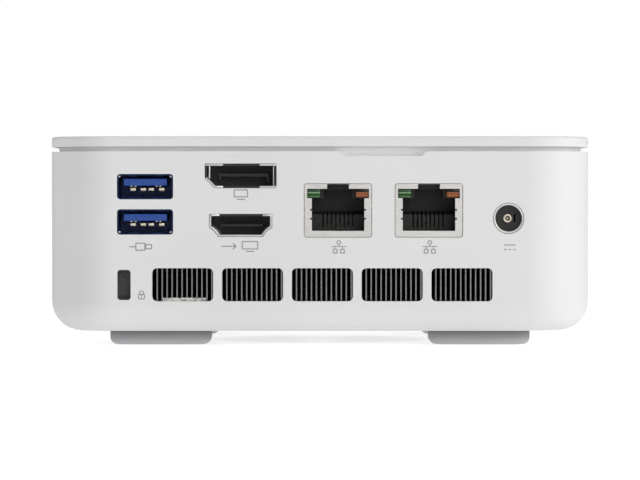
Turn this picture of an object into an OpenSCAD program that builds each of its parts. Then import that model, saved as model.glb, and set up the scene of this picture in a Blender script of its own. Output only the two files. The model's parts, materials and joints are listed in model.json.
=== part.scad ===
// Desktop mini computer with a lift-off lid.
// X runs along the rear panel, +Y points to the front and +Z is up.
// The origin is under the middle of the case, on the surface that the feet stand on.

/* [Case] */
// Width of the case, side to side
body_w = 128; // [127:1:130]
// Depth of the case, rear to front
body_d = 128; // [127:1:130]
// Height from the table to the top of the lid
body_h = 49.5; // [49:0.25:50.5]
// Radius of the four upright corners
corner_r = 15; // [14:1:17]
// Radius of the rounding along the bottom edge
bottom_r = 7; // [6.5:0.5:7.5]
// Thickness of the case walls
wall = 2; // [1.8:0.1:2.2]

/* [Lid] */
// Thickness of the lid at its rim
lid_t = 2.45; // [2.25:0.05:2.5]
// Height of the shadow gap under the lid
lid_gap = 1.1; // [0.9:0.1:1.2]
// Width of the pry notch in the rear edge
notch_w = 20; // [16:1:24]

/* [Feet] */
// Width of a foot, side to side
foot_w = 24.2; // [22:0.1:25]
// Depth of a foot, rear to front
foot_d = 18; // [16:1:19]
// Height of a foot
foot_h = 3.5; // [3:0.25:4]

/* [Cooling] */
// Number of exhaust openings
vent_count = 5; // [3:1:5]
// Width of one exhaust opening
vent_w = 14.4; // [12:0.1:14.6]
// Height of one exhaust opening
vent_h = 7.8; // [6:0.1:8]
// Number of fins in the heat sink
fin_count = 68; // [50:1:68]
// Number of blades on the blower wheel
blade_count = 31; // [21:2:31]

/* [Hidden] */
$fn = 48;

// Outer planes of the case
side_x = body_w / 2;
rear_y = -body_d / 2;
front_y = body_d / 2;
in_x = side_x - wall;
in_rear = rear_y + wall;
in_front = front_y - wall;

// Heights of the case parts
cover_t = 2.4;
cover_top = foot_h + cover_t;
ledge_top = cover_top + 1.5;
lid_bottom = body_h - lid_t;
shell_top = lid_bottom - lid_gap;
lip_in = 1.8;
lip_t = 1.2;
lip_top = lid_bottom - 0.05;
cover_half = 53;
ledge_half = 50.5;
cover_r = 12;

// Main board
lan_z = 32.03;
lan_size = [15.85, 12.5];
board_t = 1.6;
board_top = lan_z - lan_size.y / 2;
board_z = board_top - board_t;
post_x = in_x - 5.5;
standoff_spots = [[-post_x, -36], [post_x, -36], [-post_x, 44], [post_x, 44]];
board_screw_spots = [[-post_x, 4], [post_x, 4]];
base_screw_spots = [for (x = [-49.5, 49.5], y = [-22, 22]) [x, y]];
insert_x = 37.5;
foot_x = 38.2;
foot_y = 40;
post_r = 3.2;
post_bore_r = 1.2;
tray_z = board_top + 8;
tray_t = 1;

// Rear connectors: centres on the rear panel as [x, z]
port_y = rear_y + 0.3;
usb_x = -41.15;
usb_z = [29.33, 37.63];
usb_size = [13, 5.75];
usb_sheet = 0.3;
usb_depth = 14;
front_usb_depth = 13;
usb_tongue_half = 5.15;
usb_tongue_z = [0.2, 1.95];
usb_contact_x = [-2.92, -0.52, 1.38, 3.86];
upper_video = [-18.66, 40.17];
lower_video = [-18.68, 28.51];
video_rim = 0.4;
video_depth = 11;
lan_x = [4.23, 25.62];
lan_contact_pitch = 1.02;
lan_light_x = [4.2, 7.2];
lan_light_z = [2.95, 4.65];
dc_spot = [44.36, 30.18];
dc_sleeve_r = [3.1, 3.6];
dc_pin_r = 1.2;
lock_spot = [-46.13, 14.49];
lock_size = [3.15, 7.1];
vent_z = 14.54;
vent_mid = 0.55;
vent_pitch = 16.43;

// Front connectors: centres on the front panel as [x, z]
front_usb_x = [8, -12];
front_usb_z = board_top + usb_size.y / 2;
usb_c_spot = [27, board_top + 1.63];
audio_spot = [46, board_top + 3];
usb_c_size = [8.94, 3.26];
audio_bore_r = 1.8;
button_spot = [-46, 29];
button_r = 4;
ring_r = 5;

// Cooler
fan_y = -6;
fan_z = 9.5;
fan_top = 19;
fan_r = 28;
fan_room_r = 30;
fan_wall = 1.5;
throat_half = 36.5;
fin_pitch = vent_pitch / 14;
fin_t = 0.3;
fin_z = [10.1, 19.4];
fin_y = [in_rear + 0.6, -41];
fin_first_x = vent_mid - 38.95;
fin_tab_x = -37.1;
pipe_z = fin_z[1];
pipe_t = 2.4;
pipe_w = 6;
cooler_spots = [for (x = [-34, 34], y = [33, 50]) [x, y]];
fan_ears = [[-36.5, -12], [36.5, -12], [-17.3, 24], [17.3, 24]];
spreader_z = pipe_z + pipe_t;
die_z = spreader_z + 1;

// Small fits
clear = 0.1;
thread_gap = 0.03;

// ---------- helpers ----------

// Flat rounded rectangle about the origin
module rrect(size, r) {
    square([size.x - 2 * r, size.y], center = true);
    square([size.x, size.y - 2 * r], center = true);
    for (x = [-1, 1], y = [-1, 1])
        translate([x * (size.x / 2 - r), y * (size.y / 2 - r)])
            circle(r);
}

// Rounded plate from height z0 to z1
module plate(size, r, z0, z1) {
    translate([0, 0, z0])
        linear_extrude(z1 - z0)
            rrect(size, r);
}

// Box between two opposite corners
module block(low, high) {
    translate(low)
        cube(high - low);
}

// Box on one side of the middle: side is -1 or 1, and x runs from the middle outwards
module side_block(side, x, y, z) {
    block([min(side * x[0], side * x[1]), y[0], z[0]], [max(side * x[0], side * x[1]), y[1], z[1]]);
}

// Box about a socket's place [x, z]: x and z run from that place, y is absolute
module socket_block(spot, x, y, z) {
    block([spot.x + x[0], y[0], spot.y + z[0]], [spot.x + x[1], y[1], spot.y + z[1]]);
}

// Stands a flat outline up on the XZ plane at [x, z] and fills it from y0 to y1
module upright(spot, y0, y1) {
    translate([spot.x, y1, spot.y])
        rotate([90, 0, 0])
            linear_extrude(y1 - y0)
                children();
}

// Cylinder along Y from y0 to y1
module rod_y(spot, r, y0, y1) {
    upright(spot, y0, y1)
        circle(r);
}

// Cylinder along Z
module rod_z(spot, r, z0, z1) {
    translate([spot.x, spot.y, z0])
        cylinder(r = r, h = z1 - z0);
}

// Screw along Z: the shank runs from tip to seat, the head from seat to head_end
module screw(spot, shank_r, tip, seat, head_r, head_end) {
    rod_z(spot, shank_r, min(tip, seat), max(tip, seat));
    difference() {
        rod_z(spot, head_r, min(seat, head_end), max(seat, head_end));
        translate([spot.x, spot.y, head_end])
            for (a = [0, 90])
                rotate(a)
                    cube([head_r * 1.2, 0.5, 0.9], center = true);
    }
}

// Case-like solid: upright corners of radius r, bottom edge rounded by f
module tub(size, r, f, z0, z1) {
    hull()
        for (x = [-1, 1], y = [-1, 1])
            translate([x * (size.x / 2 - r), y * (size.y / 2 - r), 0])
                rotate_extrude($fn = 48)
                    polygon(concat(
                        [[0, z1], [0, z0]],
                        [for (a = [0 : 11.25 : 90]) [r - f + f * sin(a), z0 + f - f * cos(a)]],
                        [[r, z1]]
                    ));
}

// Rings of a round tube along a list of points
function unit(v) = v / norm(v);
function heading(p, i) = unit(p[min(i + 1, len(p) - 1)] - p[max(i - 1, 0)]);
function side_of(t) = unit(cross(t, abs(t.z) > 0.9 ? [1, 0, 0] : [0, 0, 1]));
function ring_at(p, i, r, n) =
    let (t = heading(p, i), u = side_of(t), v = cross(t, u))
    [for (k = [0 : n - 1]) p[i] + r * (cos(360 * k / n) * u + sin(360 * k / n) * v)];
// Catmull-Rom points between the route's own points
function knot(p, i) = p[min(max(i, 0), len(p) - 1)];
function between(a, b, c, d, t) =
    0.5 * (2 * b + (c - a) * t + (2 * a - 5 * b + 4 * c - d) * t * t + (3 * b - a - 3 * c + d) * t * t * t);
function smooth_route(p, steps) = concat(
    [for (i = [0 : len(p) - 2], s = [0 : steps - 1])
        between(knot(p, i - 1), knot(p, i), knot(p, i + 1), knot(p, i + 2), s / steps)],
    [p[len(p) - 1]]
);

module tube(route, r, steps = 4, sides = 8) {
    p = smooth_route(route, steps);
    n = len(p);
    polyhedron(
        points = [for (i = [0 : n - 1]) each ring_at(p, i, r, sides)],
        faces = concat(
            [[for (k = [0 : sides - 1]) k]],
            [[for (k = [0 : sides - 1]) n * sides - 1 - k]],
            [for (i = [0 : n - 2], k = [0 : sides - 1])
                let (a = i * sides, b = a + sides, next = (k + 1) % sides)
                [a + k, b + k, b + next, a + next]]
        )
    );
}

// ---------- outlines of the connectors ----------

module usb_outline(grow = 0) {
    rrect(usb_size + [2 * grow, 2 * grow], 0.6 + grow);
}

// One corner cut off
module upper_video_outline(grow = 0) {
    w = 8.35 + grow;
    h = 2.8 + grow;
    polygon([[-w, h], [w, h], [w, -h], [-6.1 - grow * 0.4, -h], [-w, -0.53 - grow * 0.4]]);
}

// Both lower corners stepped in
module lower_video_outline(grow = 0) {
    w = 7.35 + grow;
    h = 2.62 + grow;
    side = [[w, h], [w, -0.62 - grow * 0.4], [6.05 + grow * 0.7, -1.39 - grow * 0.7], [5 + grow * 0.5, -h]];
    polygon(concat(side, [for (i = [3 : -1 : 0]) [-side[i].x, side[i].y]]));
}

// Plug opening of a network jack: wide shoulders hold the lights, the top notch takes the latch
module lan_opening() {
    translate([-6.15, -4.8])
        square([12.3, 7.7]);
    translate([-7.25, 2.88])
        square([14.5, 2.2]);
    translate([-2.55, 5])
        square([5.1, 1.3]);
}

module usb_c_outline(grow = 0) {
    rrect(usb_c_size + [2 * grow, 2 * grow], 1.5 + grow);
}

// ---------- case ----------

module case_posts() {
    for (p = concat(standoff_spots, board_screw_spots)) {
        rod_z(p, post_r, cover_top + 0.5, board_z);
        side_block(sign(p.x), [abs(p.x), in_x + 0.5], [p.y - 1, p.y + 1], [cover_top + 0.5, board_z - 2]);
    }
    for (p = base_screw_spots)
        rod_z(p, 3.5, cover_top, 10.4);
}

module pry_notch() {
    top = notch_w / 2 + 0.3;
    low = notch_w / 2 - 0.8;
    upright([14.7, shell_top], rear_y - 1, rear_y + lip_in)
        polygon([[-top, 0.1], [top, 0.1], [low, -1.1], [-low, -1.1]]);
}

module rear_cuts() {
    y0 = rear_y - 1;
    y1 = in_rear + 0.5;
    for (z = usb_z)
        upright([usb_x, z], y0, y1) usb_outline(clear);
    upright(upper_video, y0, y1) upper_video_outline(clear);
    upright(lower_video, y0, y1) lower_video_outline(clear);
    for (x = lan_x)
        upright([x, lan_z], y0, y1) rrect(lan_size + [2 * clear, 2 * clear], 0.6);
    rod_y(dc_spot, 3.68, y0, y1);
    upright(lock_spot, y0, y1) rrect(lock_size, 0.7);
    for (i = [0 : vent_count - 1])
        upright([vent_mid + (i - (vent_count - 1) / 2) * vent_pitch, vent_z], y0, y1)
            rrect([vent_w, vent_h], 1.1);
}

module front_cuts() {
    y0 = in_front - 0.5;
    y1 = front_y + 1;
    for (x = front_usb_x)
        upright([x, front_usb_z], y0, y1) usb_outline(clear);
    upright(usb_c_spot, y0, y1) usb_c_outline(clear);
    rod_y(audio_spot, 3.1, y0, y1);
    rod_y(button_spot, ring_r + 0.05, y0, y1);
}

module body_shell() {
    inner_r = corner_r - wall;
    lip_out = lip_in + lip_t;
    color("whitesmoke")
        difference() {
            union() {
                difference() {
                    tub([body_w, body_d], corner_r, bottom_r, foot_h, shell_top);
                    tub([2 * in_x, body_d - 2 * wall], inner_r, bottom_r - wall, ledge_top, shell_top + 1);
                    plate([2 * ledge_half, 2 * ledge_half], cover_r - 2, foot_h - 1, ledge_top + 2);
                    plate([2 * cover_half, 2 * cover_half], cover_r, foot_h - 1, cover_top);
                }
                // inner lip that carries the lid
                difference() {
                    plate([body_w - 2 * lip_in, body_d - 2 * lip_in],
                          corner_r - lip_in, shell_top - 2.5, lip_top);
                    plate([body_w - 2 * lip_out, body_d - 2 * lip_out],
                          corner_r - lip_out, shell_top - 3, lid_bottom + 1);
                }
                case_posts();
            }
            rear_cuts();
            front_cuts();
            pry_notch();
            for (p = concat(standoff_spots, board_screw_spots))
                rod_z(p, post_bore_r + thread_gap, 14, board_z + 1);
            for (p = base_screw_spots)
                rod_z(p, post_bore_r + thread_gap, cover_top - 1, 11);
        }
}

// Slots of the air intake, cut to a circle under the blower
module intake_slots() {
    reach = 29;
    for (i = [-6 : 6])
        for (s = [-1, 1])
            let (half = sqrt(reach * reach - pow(i * 4.2, 2)), mid = (half + 1.6) / 2)
                translate([s * mid, fan_y + i * 4.2, 0])
                    rrect([half - 1.6, 2.2], 1.05);
}

module base_cover() {
    fit = 0.15;
    color("whitesmoke")
        difference() {
            union() {
                plate([2 * (cover_half - fit), 2 * (cover_half - fit)], cover_r - fit, foot_h, cover_top);
                for (x = [-insert_x, insert_x])
                    rod_z([x, 0], 3.6, foot_h, 8.6);
            }
            translate([0, 0, foot_h - 1])
                linear_extrude(cover_t + 2)
                    intake_slots();
            for (p = base_screw_spots) {
                rod_z(p, 1.45, foot_h - 1, cover_top + 1);
                rod_z(p, 2.7, foot_h - 1, foot_h + 1.4);
            }
            for (x = [-insert_x, insert_x])
                rod_z([x, 0], 2.1 + thread_gap, foot_h - 1, 9);
        }
}

module rubber_foot() {
    edge_r = 1.7;
    r = 4.5;
    hull()
        for (x = [-1, 1], y = [-1, 1])
            translate([x * (foot_w / 2 - r), y * (foot_d / 2 - r), 0])
                rotate_extrude($fn = 32)
                    polygon(concat(
                        [[0, foot_h], [0, 0]],
                        [for (a = [0 : 22.5 : 90])
                            [r - edge_r + edge_r * sin(a), edge_r - edge_r * cos(a)]],
                        [[r, foot_h]]
                    ));
}

module rubber_feet() {
    color("gray")
        for (x = [-foot_x, foot_x], y = [-foot_y, foot_y])
            translate([x, y, 0])
                rubber_foot();
}

module base_screws() {
    color("silver")
        for (p = base_screw_spots)
            screw(p, 1.2, 10.2, foot_h + 1.4, 2.5, foot_h + 0.1);
}

module bracket_inserts() {
    color("goldenrod")
        for (x = [-insert_x, insert_x])
            difference() {
                rod_z([x, 0], 2.1, foot_h, 8.4);
                rod_z([x, 0], 1.25, foot_h - 1, 9);
            }
}

// ---------- lid ----------

module lid() {
    edge = 0.7;
    skirt_in = lip_in + lip_t + 0.25;
    skirt_t = 1.2;
    inner_in = skirt_in + skirt_t;
    color("whitesmoke")
        difference() {
            union() {
                hull()
                    for (x = [-1, 1], y = [-1, 1])
                        translate([x * (side_x - corner_r), y * (front_y - corner_r), 0])
                            rotate_extrude($fn = 48)
                                polygon(concat(
                                    [[0, body_h], [0, lid_bottom], [corner_r, lid_bottom]],
                                    [for (a = [0 : 30 : 90])
                                        [corner_r - edge + edge * cos(a), body_h - edge + edge * sin(a)]]
                                ));
                difference() {
                    plate([body_w - 2 * skirt_in, body_d - 2 * skirt_in], corner_r - skirt_in,
                          lid_bottom - 2.2, lid_bottom + 0.1);
                    plate([body_w - 2 * inner_in, body_d - 2 * inner_in], corner_r - inner_in,
                          lid_bottom - 3, lid_bottom + 0.2);
                    // gaps that leave separate clip tabs
                    for (a = [0, 90], s = [-32, 0, 32])
                        rotate(a)
                            block([s - 8, -body_w, lid_bottom - 3], [s + 8, body_w, lid_bottom - 0.8]);
                }
            }
            // the thin middle of the lid, with ribs left across it
            for (x = [-1, 1], y = [-1, 1])
                translate([x * 28.5, y * 28.5, lid_bottom - 1])
                    linear_extrude(1.9)
                        rrect([54, 54], 6);
        }
}

// ---------- power button ----------

module power_button() {
    color("whitesmoke")
        union() {
            rod_y(button_spot, button_r, in_front, front_y);
            rod_y(button_spot, ring_r - 0.25, in_front - 1, in_front);
            rod_y(button_spot, 1.5, in_front - 4, in_front - 1);
        }
}

module button_light_ring() {
    color("lightcyan")
        difference() {
            rod_y(button_spot, ring_r, in_front + 0.1, front_y - 0.1);
            rod_y(button_spot, button_r + 0.2, in_front - 1, front_y + 1);
        }
}

module switch_plunger() {
    color("dimgray")
        rod_y(button_spot, 1, in_front - 5.8, in_front - 4);
}

module power_switch() {
    face = in_front - 4.9;
    color("gray")
        difference() {
            block([button_spot.x - 3.2, face - 3.6, board_top],
                  [button_spot.x + 3.2, face, button_spot.y + 3.2]);
            rod_y(button_spot, 1.12, face - 1.8, face + 1);
        }
}

// ---------- rear connectors ----------

module usb_shell(spot, y0, y1) {
    difference() {
        upright(spot, y0, y1) usb_outline();
        upright(spot, y0 - 1, y1 + 1) usb_outline(-usb_sheet);
    }
}

// Tongue and back wall inside a USB shell; open is the direction of the mouth
module usb_tongue(spot, face, open) {
    back = face - open * 11;
    lip = face - open * 1;
    fit = 0.03;
    union() {
        upright(spot, min(back, back - open * 2.5), max(back, back - open * 2.5))
            usb_outline(-usb_sheet - fit);
        socket_block(spot, [-usb_tongue_half, usb_tongue_half],
                     [min(lip, back), max(lip, back)], usb_tongue_z);
    }
}

// Moulded block that carries both shells above the board
module rear_usb_block() {
    color("#202020")
        difference() {
            block([usb_x - 6.9, in_rear + 0.1, board_top], [usb_x + 6.9, port_y + 17, usb_z[1] + 3.6]);
            for (z = usb_z)
                upright([usb_x, z], port_y - 1, port_y + usb_depth) usb_outline(0.02);
        }
}

module rear_usb_shells() {
    color("silver")
        for (z = usb_z)
            usb_shell([usb_x, z], port_y, port_y + usb_depth);
}

module rear_usb_tongues() {
    color("royalblue")
        for (z = usb_z)
            usb_tongue([usb_x, z], port_y, -1);
}

module rear_usb_contacts() {
    color("gold")
        for (z = usb_z, x = usb_contact_x)
            socket_block([usb_x + x, z], [-0.5, 0.5], [port_y + 1.6, port_y + 10.9], [-0.3, usb_tongue_z[0]]);
}

module video_port_block() {
    back = port_y + 17;
    color("#202020")
        difference() {
            block([upper_video.x - 8.7, in_rear + 0.1, board_top],
                  [upper_video.x + 8.7, back, shell_top - 2.6]);
            upright(upper_video, port_y - 1, port_y + video_depth) upper_video_outline(0.02);
            upright(lower_video, port_y - 1, port_y + video_depth) lower_video_outline(0.02);
        }
}

module video_port_shells() {
    gap_y = [port_y - 1, port_y + 1.2];
    color("silver") {
        difference() {
            upright(upper_video, port_y, port_y + video_depth) upper_video_outline();
            upright(upper_video, port_y - 1, port_y + video_depth + 1) upper_video_outline(-video_rim);
            // the rim is open in the middle of both long sides
            socket_block(upper_video, [-4.5, 4.5], gap_y, [-4, 4]);
        }
        difference() {
            upright(lower_video, port_y, port_y + video_depth) lower_video_outline();
            upright(lower_video, port_y - 1, port_y + video_depth + 1) lower_video_outline(-video_rim);
            socket_block(lower_video, [-4.9, 5.1], gap_y, [0, 4]);
        }
    }
}

module video_port_tongues() {
    wall_y = [port_y + 9, port_y + video_depth - 0.1];
    tongue_y = [port_y + 1.2, wall_y[0]];
    color("#181818") {
        upright(upper_video, wall_y[0], wall_y[1]) upper_video_outline(-video_rim - 0.03);
        socket_block(upper_video, [-5.2, 5.6], tongue_y, [-0.9, 0.3]);
        upright(lower_video, wall_y[0], wall_y[1]) lower_video_outline(-video_rim - 0.03);
        socket_block(lower_video, [-5.2, 5.2], tongue_y, [-0.7, 0.4]);
    }
}

module lan_jack_shields() {
    sheet = 0.25;
    depth = 21.5;
    color("silver")
        for (x = lan_x)
            difference() {
                upright([x, lan_z], port_y, port_y + depth) rrect(lan_size, 0.5);
                upright([x, lan_z], port_y + sheet, port_y + depth - sheet)
                    square(lan_size - [2 * sheet, 2 * sheet], center = true);
                upright([x, lan_z], port_y - 1, port_y + 1) lan_opening();
            }
}

module lan_jack_housings() {
    face = port_y + 0.3;
    back = port_y + 21.2;
    half = [lan_size.x / 2 - 0.3, lan_size.y / 2 - 0.3];
    color("#202020")
        for (x = lan_x)
            translate([x, 0, lan_z])
                difference() {
                    block([-half.x, face, -half.y], [half.x, back, half.y]);
                    // cavity for the plug, with room for its latch
                    block([-6.15, face - 1, -4.8], [6.15, face + 13, 2.9]);
                    block([-3.4, face - 1, 2.8], [3.4, face + 13, 5]);
                    block([-2.55, face - 1, 4.9], [2.55, face + 6, half.y + 1]);
                    // recesses for the two lights
                    for (s = [-1, 1])
                        side_block(s, lan_light_x + [-0.05, 0.05], [face - 1, face + 8], [2.9, 5.1]);
                    // eight grooves for the contacts, in a ledge at the back
                    for (i = [-3.5 : 3.5])
                        socket_block([i * lan_contact_pitch, 0], [-0.26, 0.26],
                                     [face + 12.9, face + 18], [-4.8, -0.3]);
                }
}

module lan_lights(s) {
    for (x = lan_x)
        translate([x, 0, lan_z])
            side_block(s, lan_light_x, [port_y + 0.35, port_y + 8.2], lan_light_z);
}

module lan_green_lights() {
    color("green") lan_lights(-1);
}

module lan_amber_lights() {
    color("orange") lan_lights(1);
}

module lan_contacts() {
    color("gold")
        for (x = lan_x, i = [-3.5 : 3.5])
            translate([x + i * lan_contact_pitch, port_y + 13.6, lan_z - 4.6])
                rotate([20, 0, 0])
                    translate([-0.2, -0.2, 0.2])
                        cube([0.4, 0.35, 4]);
}

module dc_jack_body() {
    color("#202020")
        difference() {
            block([dc_spot.x - 4.6, in_rear + 0.1, board_top],
                  [dc_spot.x + 4.6, port_y + 14, dc_spot.y + 5]);
            rod_y(dc_spot, dc_sleeve_r[1] + thread_gap, port_y - 1, port_y + 10.5);
        }
}

module dc_jack_sleeve() {
    color("silver")
        difference() {
            rod_y(dc_spot, dc_sleeve_r[1], port_y, port_y + 10.4);
            rod_y(dc_spot, dc_sleeve_r[0], port_y - 1, port_y + 11);
        }
}

module dc_jack_pin() {
    color("gold")
        difference() {
            rod_y(dc_spot, dc_pin_r, port_y + 2, port_y + 10.5);
            difference() {
                rod_y(dc_spot, 0.85, port_y, port_y + 5);
                rod_y(dc_spot, 0.35, port_y + 2.4, port_y + 6);
            }
        }
}

// Bent steel box behind the lock slot, hung from the board on a flange
module lock_bracket() {
    y0 = in_rear + 0.65;
    half = [lock_size.x / 2 + 1.6, lock_size.y / 2 + 0.9];
    color("#404040")
        translate([lock_spot.x, 0, lock_spot.y])
            difference() {
                union() {
                    block([-half.x, y0, -half.y], [half.x, y0 + 7, half.y]);
                    block([-half.x, y0, half.y], [half.x, y0 + 1, board_z - lock_spot.y]);
                }
                block([-half.x + 0.8, y0 + 1, -half.y + 0.8], [half.x - 0.8, y0 + 6.2, half.y - 0.8]);
                upright([0, 0], y0 - 1, y0 + 2) rrect(lock_size, 0.7);
            }
}

// ---------- front connectors ----------

module front_port_shells() {
    face = front_y - 0.3;
    color("silver") {
        for (x = front_usb_x)
            usb_shell([x, front_usb_z], face - front_usb_depth, face);
        difference() {
            upright(usb_c_spot, face - 8, face) usb_c_outline();
            upright(usb_c_spot, face - 9, face + 1) usb_c_outline(-usb_sheet);
        }
    }
}

module front_usb_tongues() {
    color("royalblue")
        for (x = front_usb_x)
            usb_tongue([x, front_usb_z], front_y - 0.3, 1);
}

module usb_c_tongue() {
    face = front_y - 0.3;
    color("#181818")
        union() {
            upright(usb_c_spot, face - 7.9, face - 6) usb_c_outline(-usb_sheet - 0.03);
            socket_block(usb_c_spot, [-3.3, 3.3], [face - 6, face - 0.8], [-0.35, 0.35]);
        }
}

module audio_jack() {
    color("#202020")
        difference() {
            union() {
                block([audio_spot.x - 3.2, front_y - 14, board_top],
                      [audio_spot.x + 3.2, in_front - 0.1, audio_spot.y + 3]);
                rod_y(audio_spot, 3, in_front - 1, front_y - 0.2);
            }
            rod_y(audio_spot, audio_bore_r, front_y - 13, front_y + 1);
        }
}

// ---------- main board ----------

module main_board() {
    color("darkgreen")
        difference() {
            plate([2 * in_x - 3, body_d - 2 * wall - 3], corner_r - wall - 1.5, board_z, board_top);
            for (p = concat(standoff_spots, board_screw_spots))
                rod_z(p, 1.4, board_z - 1, board_top + 1);
            for (p = concat(cooler_spots, fan_ears))
                rod_z(p, 1.1, board_z - 1, board_top + 1);
        }
}

module board_screws() {
    color("silver") {
        for (p = board_screw_spots)
            screw(p, 1.2, 16, board_top, 2.3, board_top + 1.5);
        for (p = standoff_spots)
            screw(p, 1.15, tray_z - 4.5, tray_z + tray_t, 2.4, tray_z + tray_t + 1.5);
        // pillar and screw that hold the storage stick's free end
        difference() {
            rod_z(ssd_post, 2, board_top, ssd_z);
            rod_z(ssd_post, 0.9, board_top + 0.5, ssd_z + 1);
        }
        screw(ssd_post, 0.9, board_top + 0.7, ssd_z + 0.8, 2, ssd_z + 1.8);
    }
}

module tray_standoffs() {
    color("goldenrod")
        for (p = standoff_spots)
            difference() {
                union() {
                    translate([p.x, p.y, board_top])
                        cylinder(r = 2.8, h = tray_z - board_top, $fn = 6);
                    rod_z(p, 1.2, 16, board_top + 1);
                }
                rod_z(p, 1.15 + thread_gap, tray_z - 5.5, tray_z + 1);
            }
}

module processor() {
    color("darkgreen")
        block([-22, 31, die_z + 0.6], [22, 55, board_z]);
    color("dimgray")
        block([-9, 37, die_z], [9, 49, die_z + 0.6]);
}

module power_coils() {
    color("dimgray")
        for (s = [-1, 1], i = [0 : 3])
            translate([s * 50.2, 12 + i * 8, board_z - 3.4])
                linear_extrude(3.4)
                    rrect([6.6, 6.6], 0.8);
}

module capacitors() {
    color("silver")
        for (p = [[54, -52], [54, -44.5], [-30.8, -45.5], [-30.8, -53]])
            rod_z(p, 3, board_top, board_top + 5.8);
}

module board_chips() {
    color("#181818") {
        for (x = [23.5, 48])
            block([x, -40.5, board_top], [x + 5, -35.5, board_top + 0.9]);
        block([38, 32, board_top], [45, 39, board_top + 0.9]);
        block([39.5, 22.5, board_top], [52, 29, board_top + 1]);
        block([-32, 52, board_top], [-26, 58, board_top + 0.8]);
        block([25, -30, board_top], [31, -24, board_top + 0.8]);
    }
}

// ---------- memory, storage and radio ----------

memory_x = -15;
memory_rows = [-41, -6.2];
memory_w = 69.6;
ssd_z = board_top + 2.7;
ssd_post = [-53.4, 38.8];

module memory_sockets() {
    half = memory_w / 2;
    color("#202020")
        for (y = memory_rows)
            translate([memory_x, y, board_top])
                difference() {
                    union() {
                        block([-half - 2.6, 0, 0], [half + 2.6, 6, 5]);
                        for (s = [-1, 1])
                            side_block(s, [half + 0.2, half + 2.6], [0, 25], [0, 4]);
                    }
                    block([-half - 0.1, 2.6, 2.2], [half + 0.1, 7, 3.7]);
                }
}

module memory_modules() {
    color("darkgreen")
        for (y = memory_rows)
            translate([memory_x - memory_w / 2, y + 2.8, board_top + 2.35])
                cube([memory_w, 30, 1.2]);
}

module ssd_socket() {
    color("#202020")
        difference() {
            block([25.5, 27.8, board_top], [31.5, 49.8, ssd_z + 1.5]);
            block([24, 28.2, ssd_z], [28, 49.4, ssd_z + 0.9]);
        }
}

// Stick with a round notch at its free end and a plug tongue at the other
module ssd_module() {
    color("darkgreen")
        difference() {
            union() {
                block([-53.4, 27.8, ssd_z], [25.4, 49.8, ssd_z + 0.8]);
                block([25.3, 28.6, ssd_z], [27.8, 49, ssd_z + 0.8]);
            }
            rod_z(ssd_post, 1.3, ssd_z - 1, ssd_z + 2);
        }
}

// Chips on the memory modules and on the storage stick
module module_chips() {
    color("#181818") {
        for (y = memory_rows, i = [0 : 3])
            translate([memory_x - 29.5 + i * 16.2, y + 14, board_top + 3.55])
                cube([10, 11, 1]);
        for (x = [-46, -27, -7])
            translate([x, 32.3, ssd_z + 0.8])
                cube([13, 13, 1.2]);
        translate([9, 33.8, ssd_z + 0.8])
            cube([9, 10, 1]);
    }
}

module wifi_card() {
    z = board_top + 1.9;
    color("darkgreen")
        block([30, -12, z], [52, 17.5, z + 0.8]);
    color("silver")
        block([32, -8, z + 0.8], [50, 12, z + 2.4]);
    color("#202020")
        difference() {
            block([29.4, 16, board_top], [52.6, 21.5, board_top + 3.6]);
            block([29.9, 15, z - 0.05], [52.1, 18.5, z + 0.85]);
        }
    color("gold")
        for (x = [35, 41])
            rod_z([x, -10], 0.8, z + 0.8, z + 1.7);
}

module wifi_antennas() {
    color("#303030")
        for (s = [-1, 1])
            side_block(s, [in_x - 0.4, in_x], [8, 34], [tray_z + 2.5, tray_z + 9.5]);
}

// Routes of the two coaxial leads, from the card's studs up to the side walls
right_lead = [
    [41, -10, 30.2], [41, -13, 30.9], [45, -16, 31.4], [53, -14, 31.8], [59, -10, 32],
    [in_x - 1.1, -2, 33], [in_x - 1, 6, 36.5], [in_x - 0.9, 12, 39.5]
];
left_lead = [
    [35, -10, 30.2], [34, -13, 31.2], [28, -16, 32], [8, -17, 32.2], [-20, -16, 32.2], [-44, -13, 32.2],
    [-56, -9, 32.3], [-in_x + 1.1, -2, 33.2], [-in_x + 1, 6, 36.5], [-in_x + 0.9, 12, 39.5]
];

module antenna_cables() {
    color("#202020") {
        tube(right_lead, 0.5);
        tube(left_lead, 0.5);
    }
}

module coin_cell() {
    color("silver")
        rod_z([44.5, -25.5], 9.8, board_top, board_top + 3.2);
}

// ---------- cooler ----------

module heat_spreader() {
    color("peru")
        difference() {
            union() {
                block([-23, 29, spreader_z], [23, 57, die_z]);
                for (y = [33, 50])
                    block([-37, y - 3, spreader_z], [37, y + 3, die_z]);
            }
            for (p = cooler_spots)
                rod_z(p, 1.1, spreader_z - 1, die_z + 1);
        }
}

// Half of a flattened pipe's plan: out from under the spreader, round a bend, back, and into the fins
module pipe_plan(reach_y) {
    out = 43;
    bend = 7;
    h = pipe_w / 2;
    translate([4, reach_y - h])
        square([out - bend - 4, pipe_w]);
    translate([out - bend, reach_y - bend])
        intersection() {
            difference() {
                circle(bend + h);
                circle(bend - h);
            }
            square(20);
        }
    translate([out - h, -44])
        square([pipe_w, reach_y - bend + 44]);
    translate([out - bend, -44])
        intersection() {
            difference() {
                circle(bend + h);
                circle(bend - h);
            }
            translate([0, -20])
                square(20);
        }
    translate([6, -44 - bend - h])
        square([out - bend - 6, pipe_w]);
}

module heat_pipes() {
    color("peru")
        for (s = [0, 1])
            mirror([s, 0, 0])
                translate([0, 0, pipe_z])
                    linear_extrude(pipe_t)
                        pipe_plan(43);
}

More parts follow.
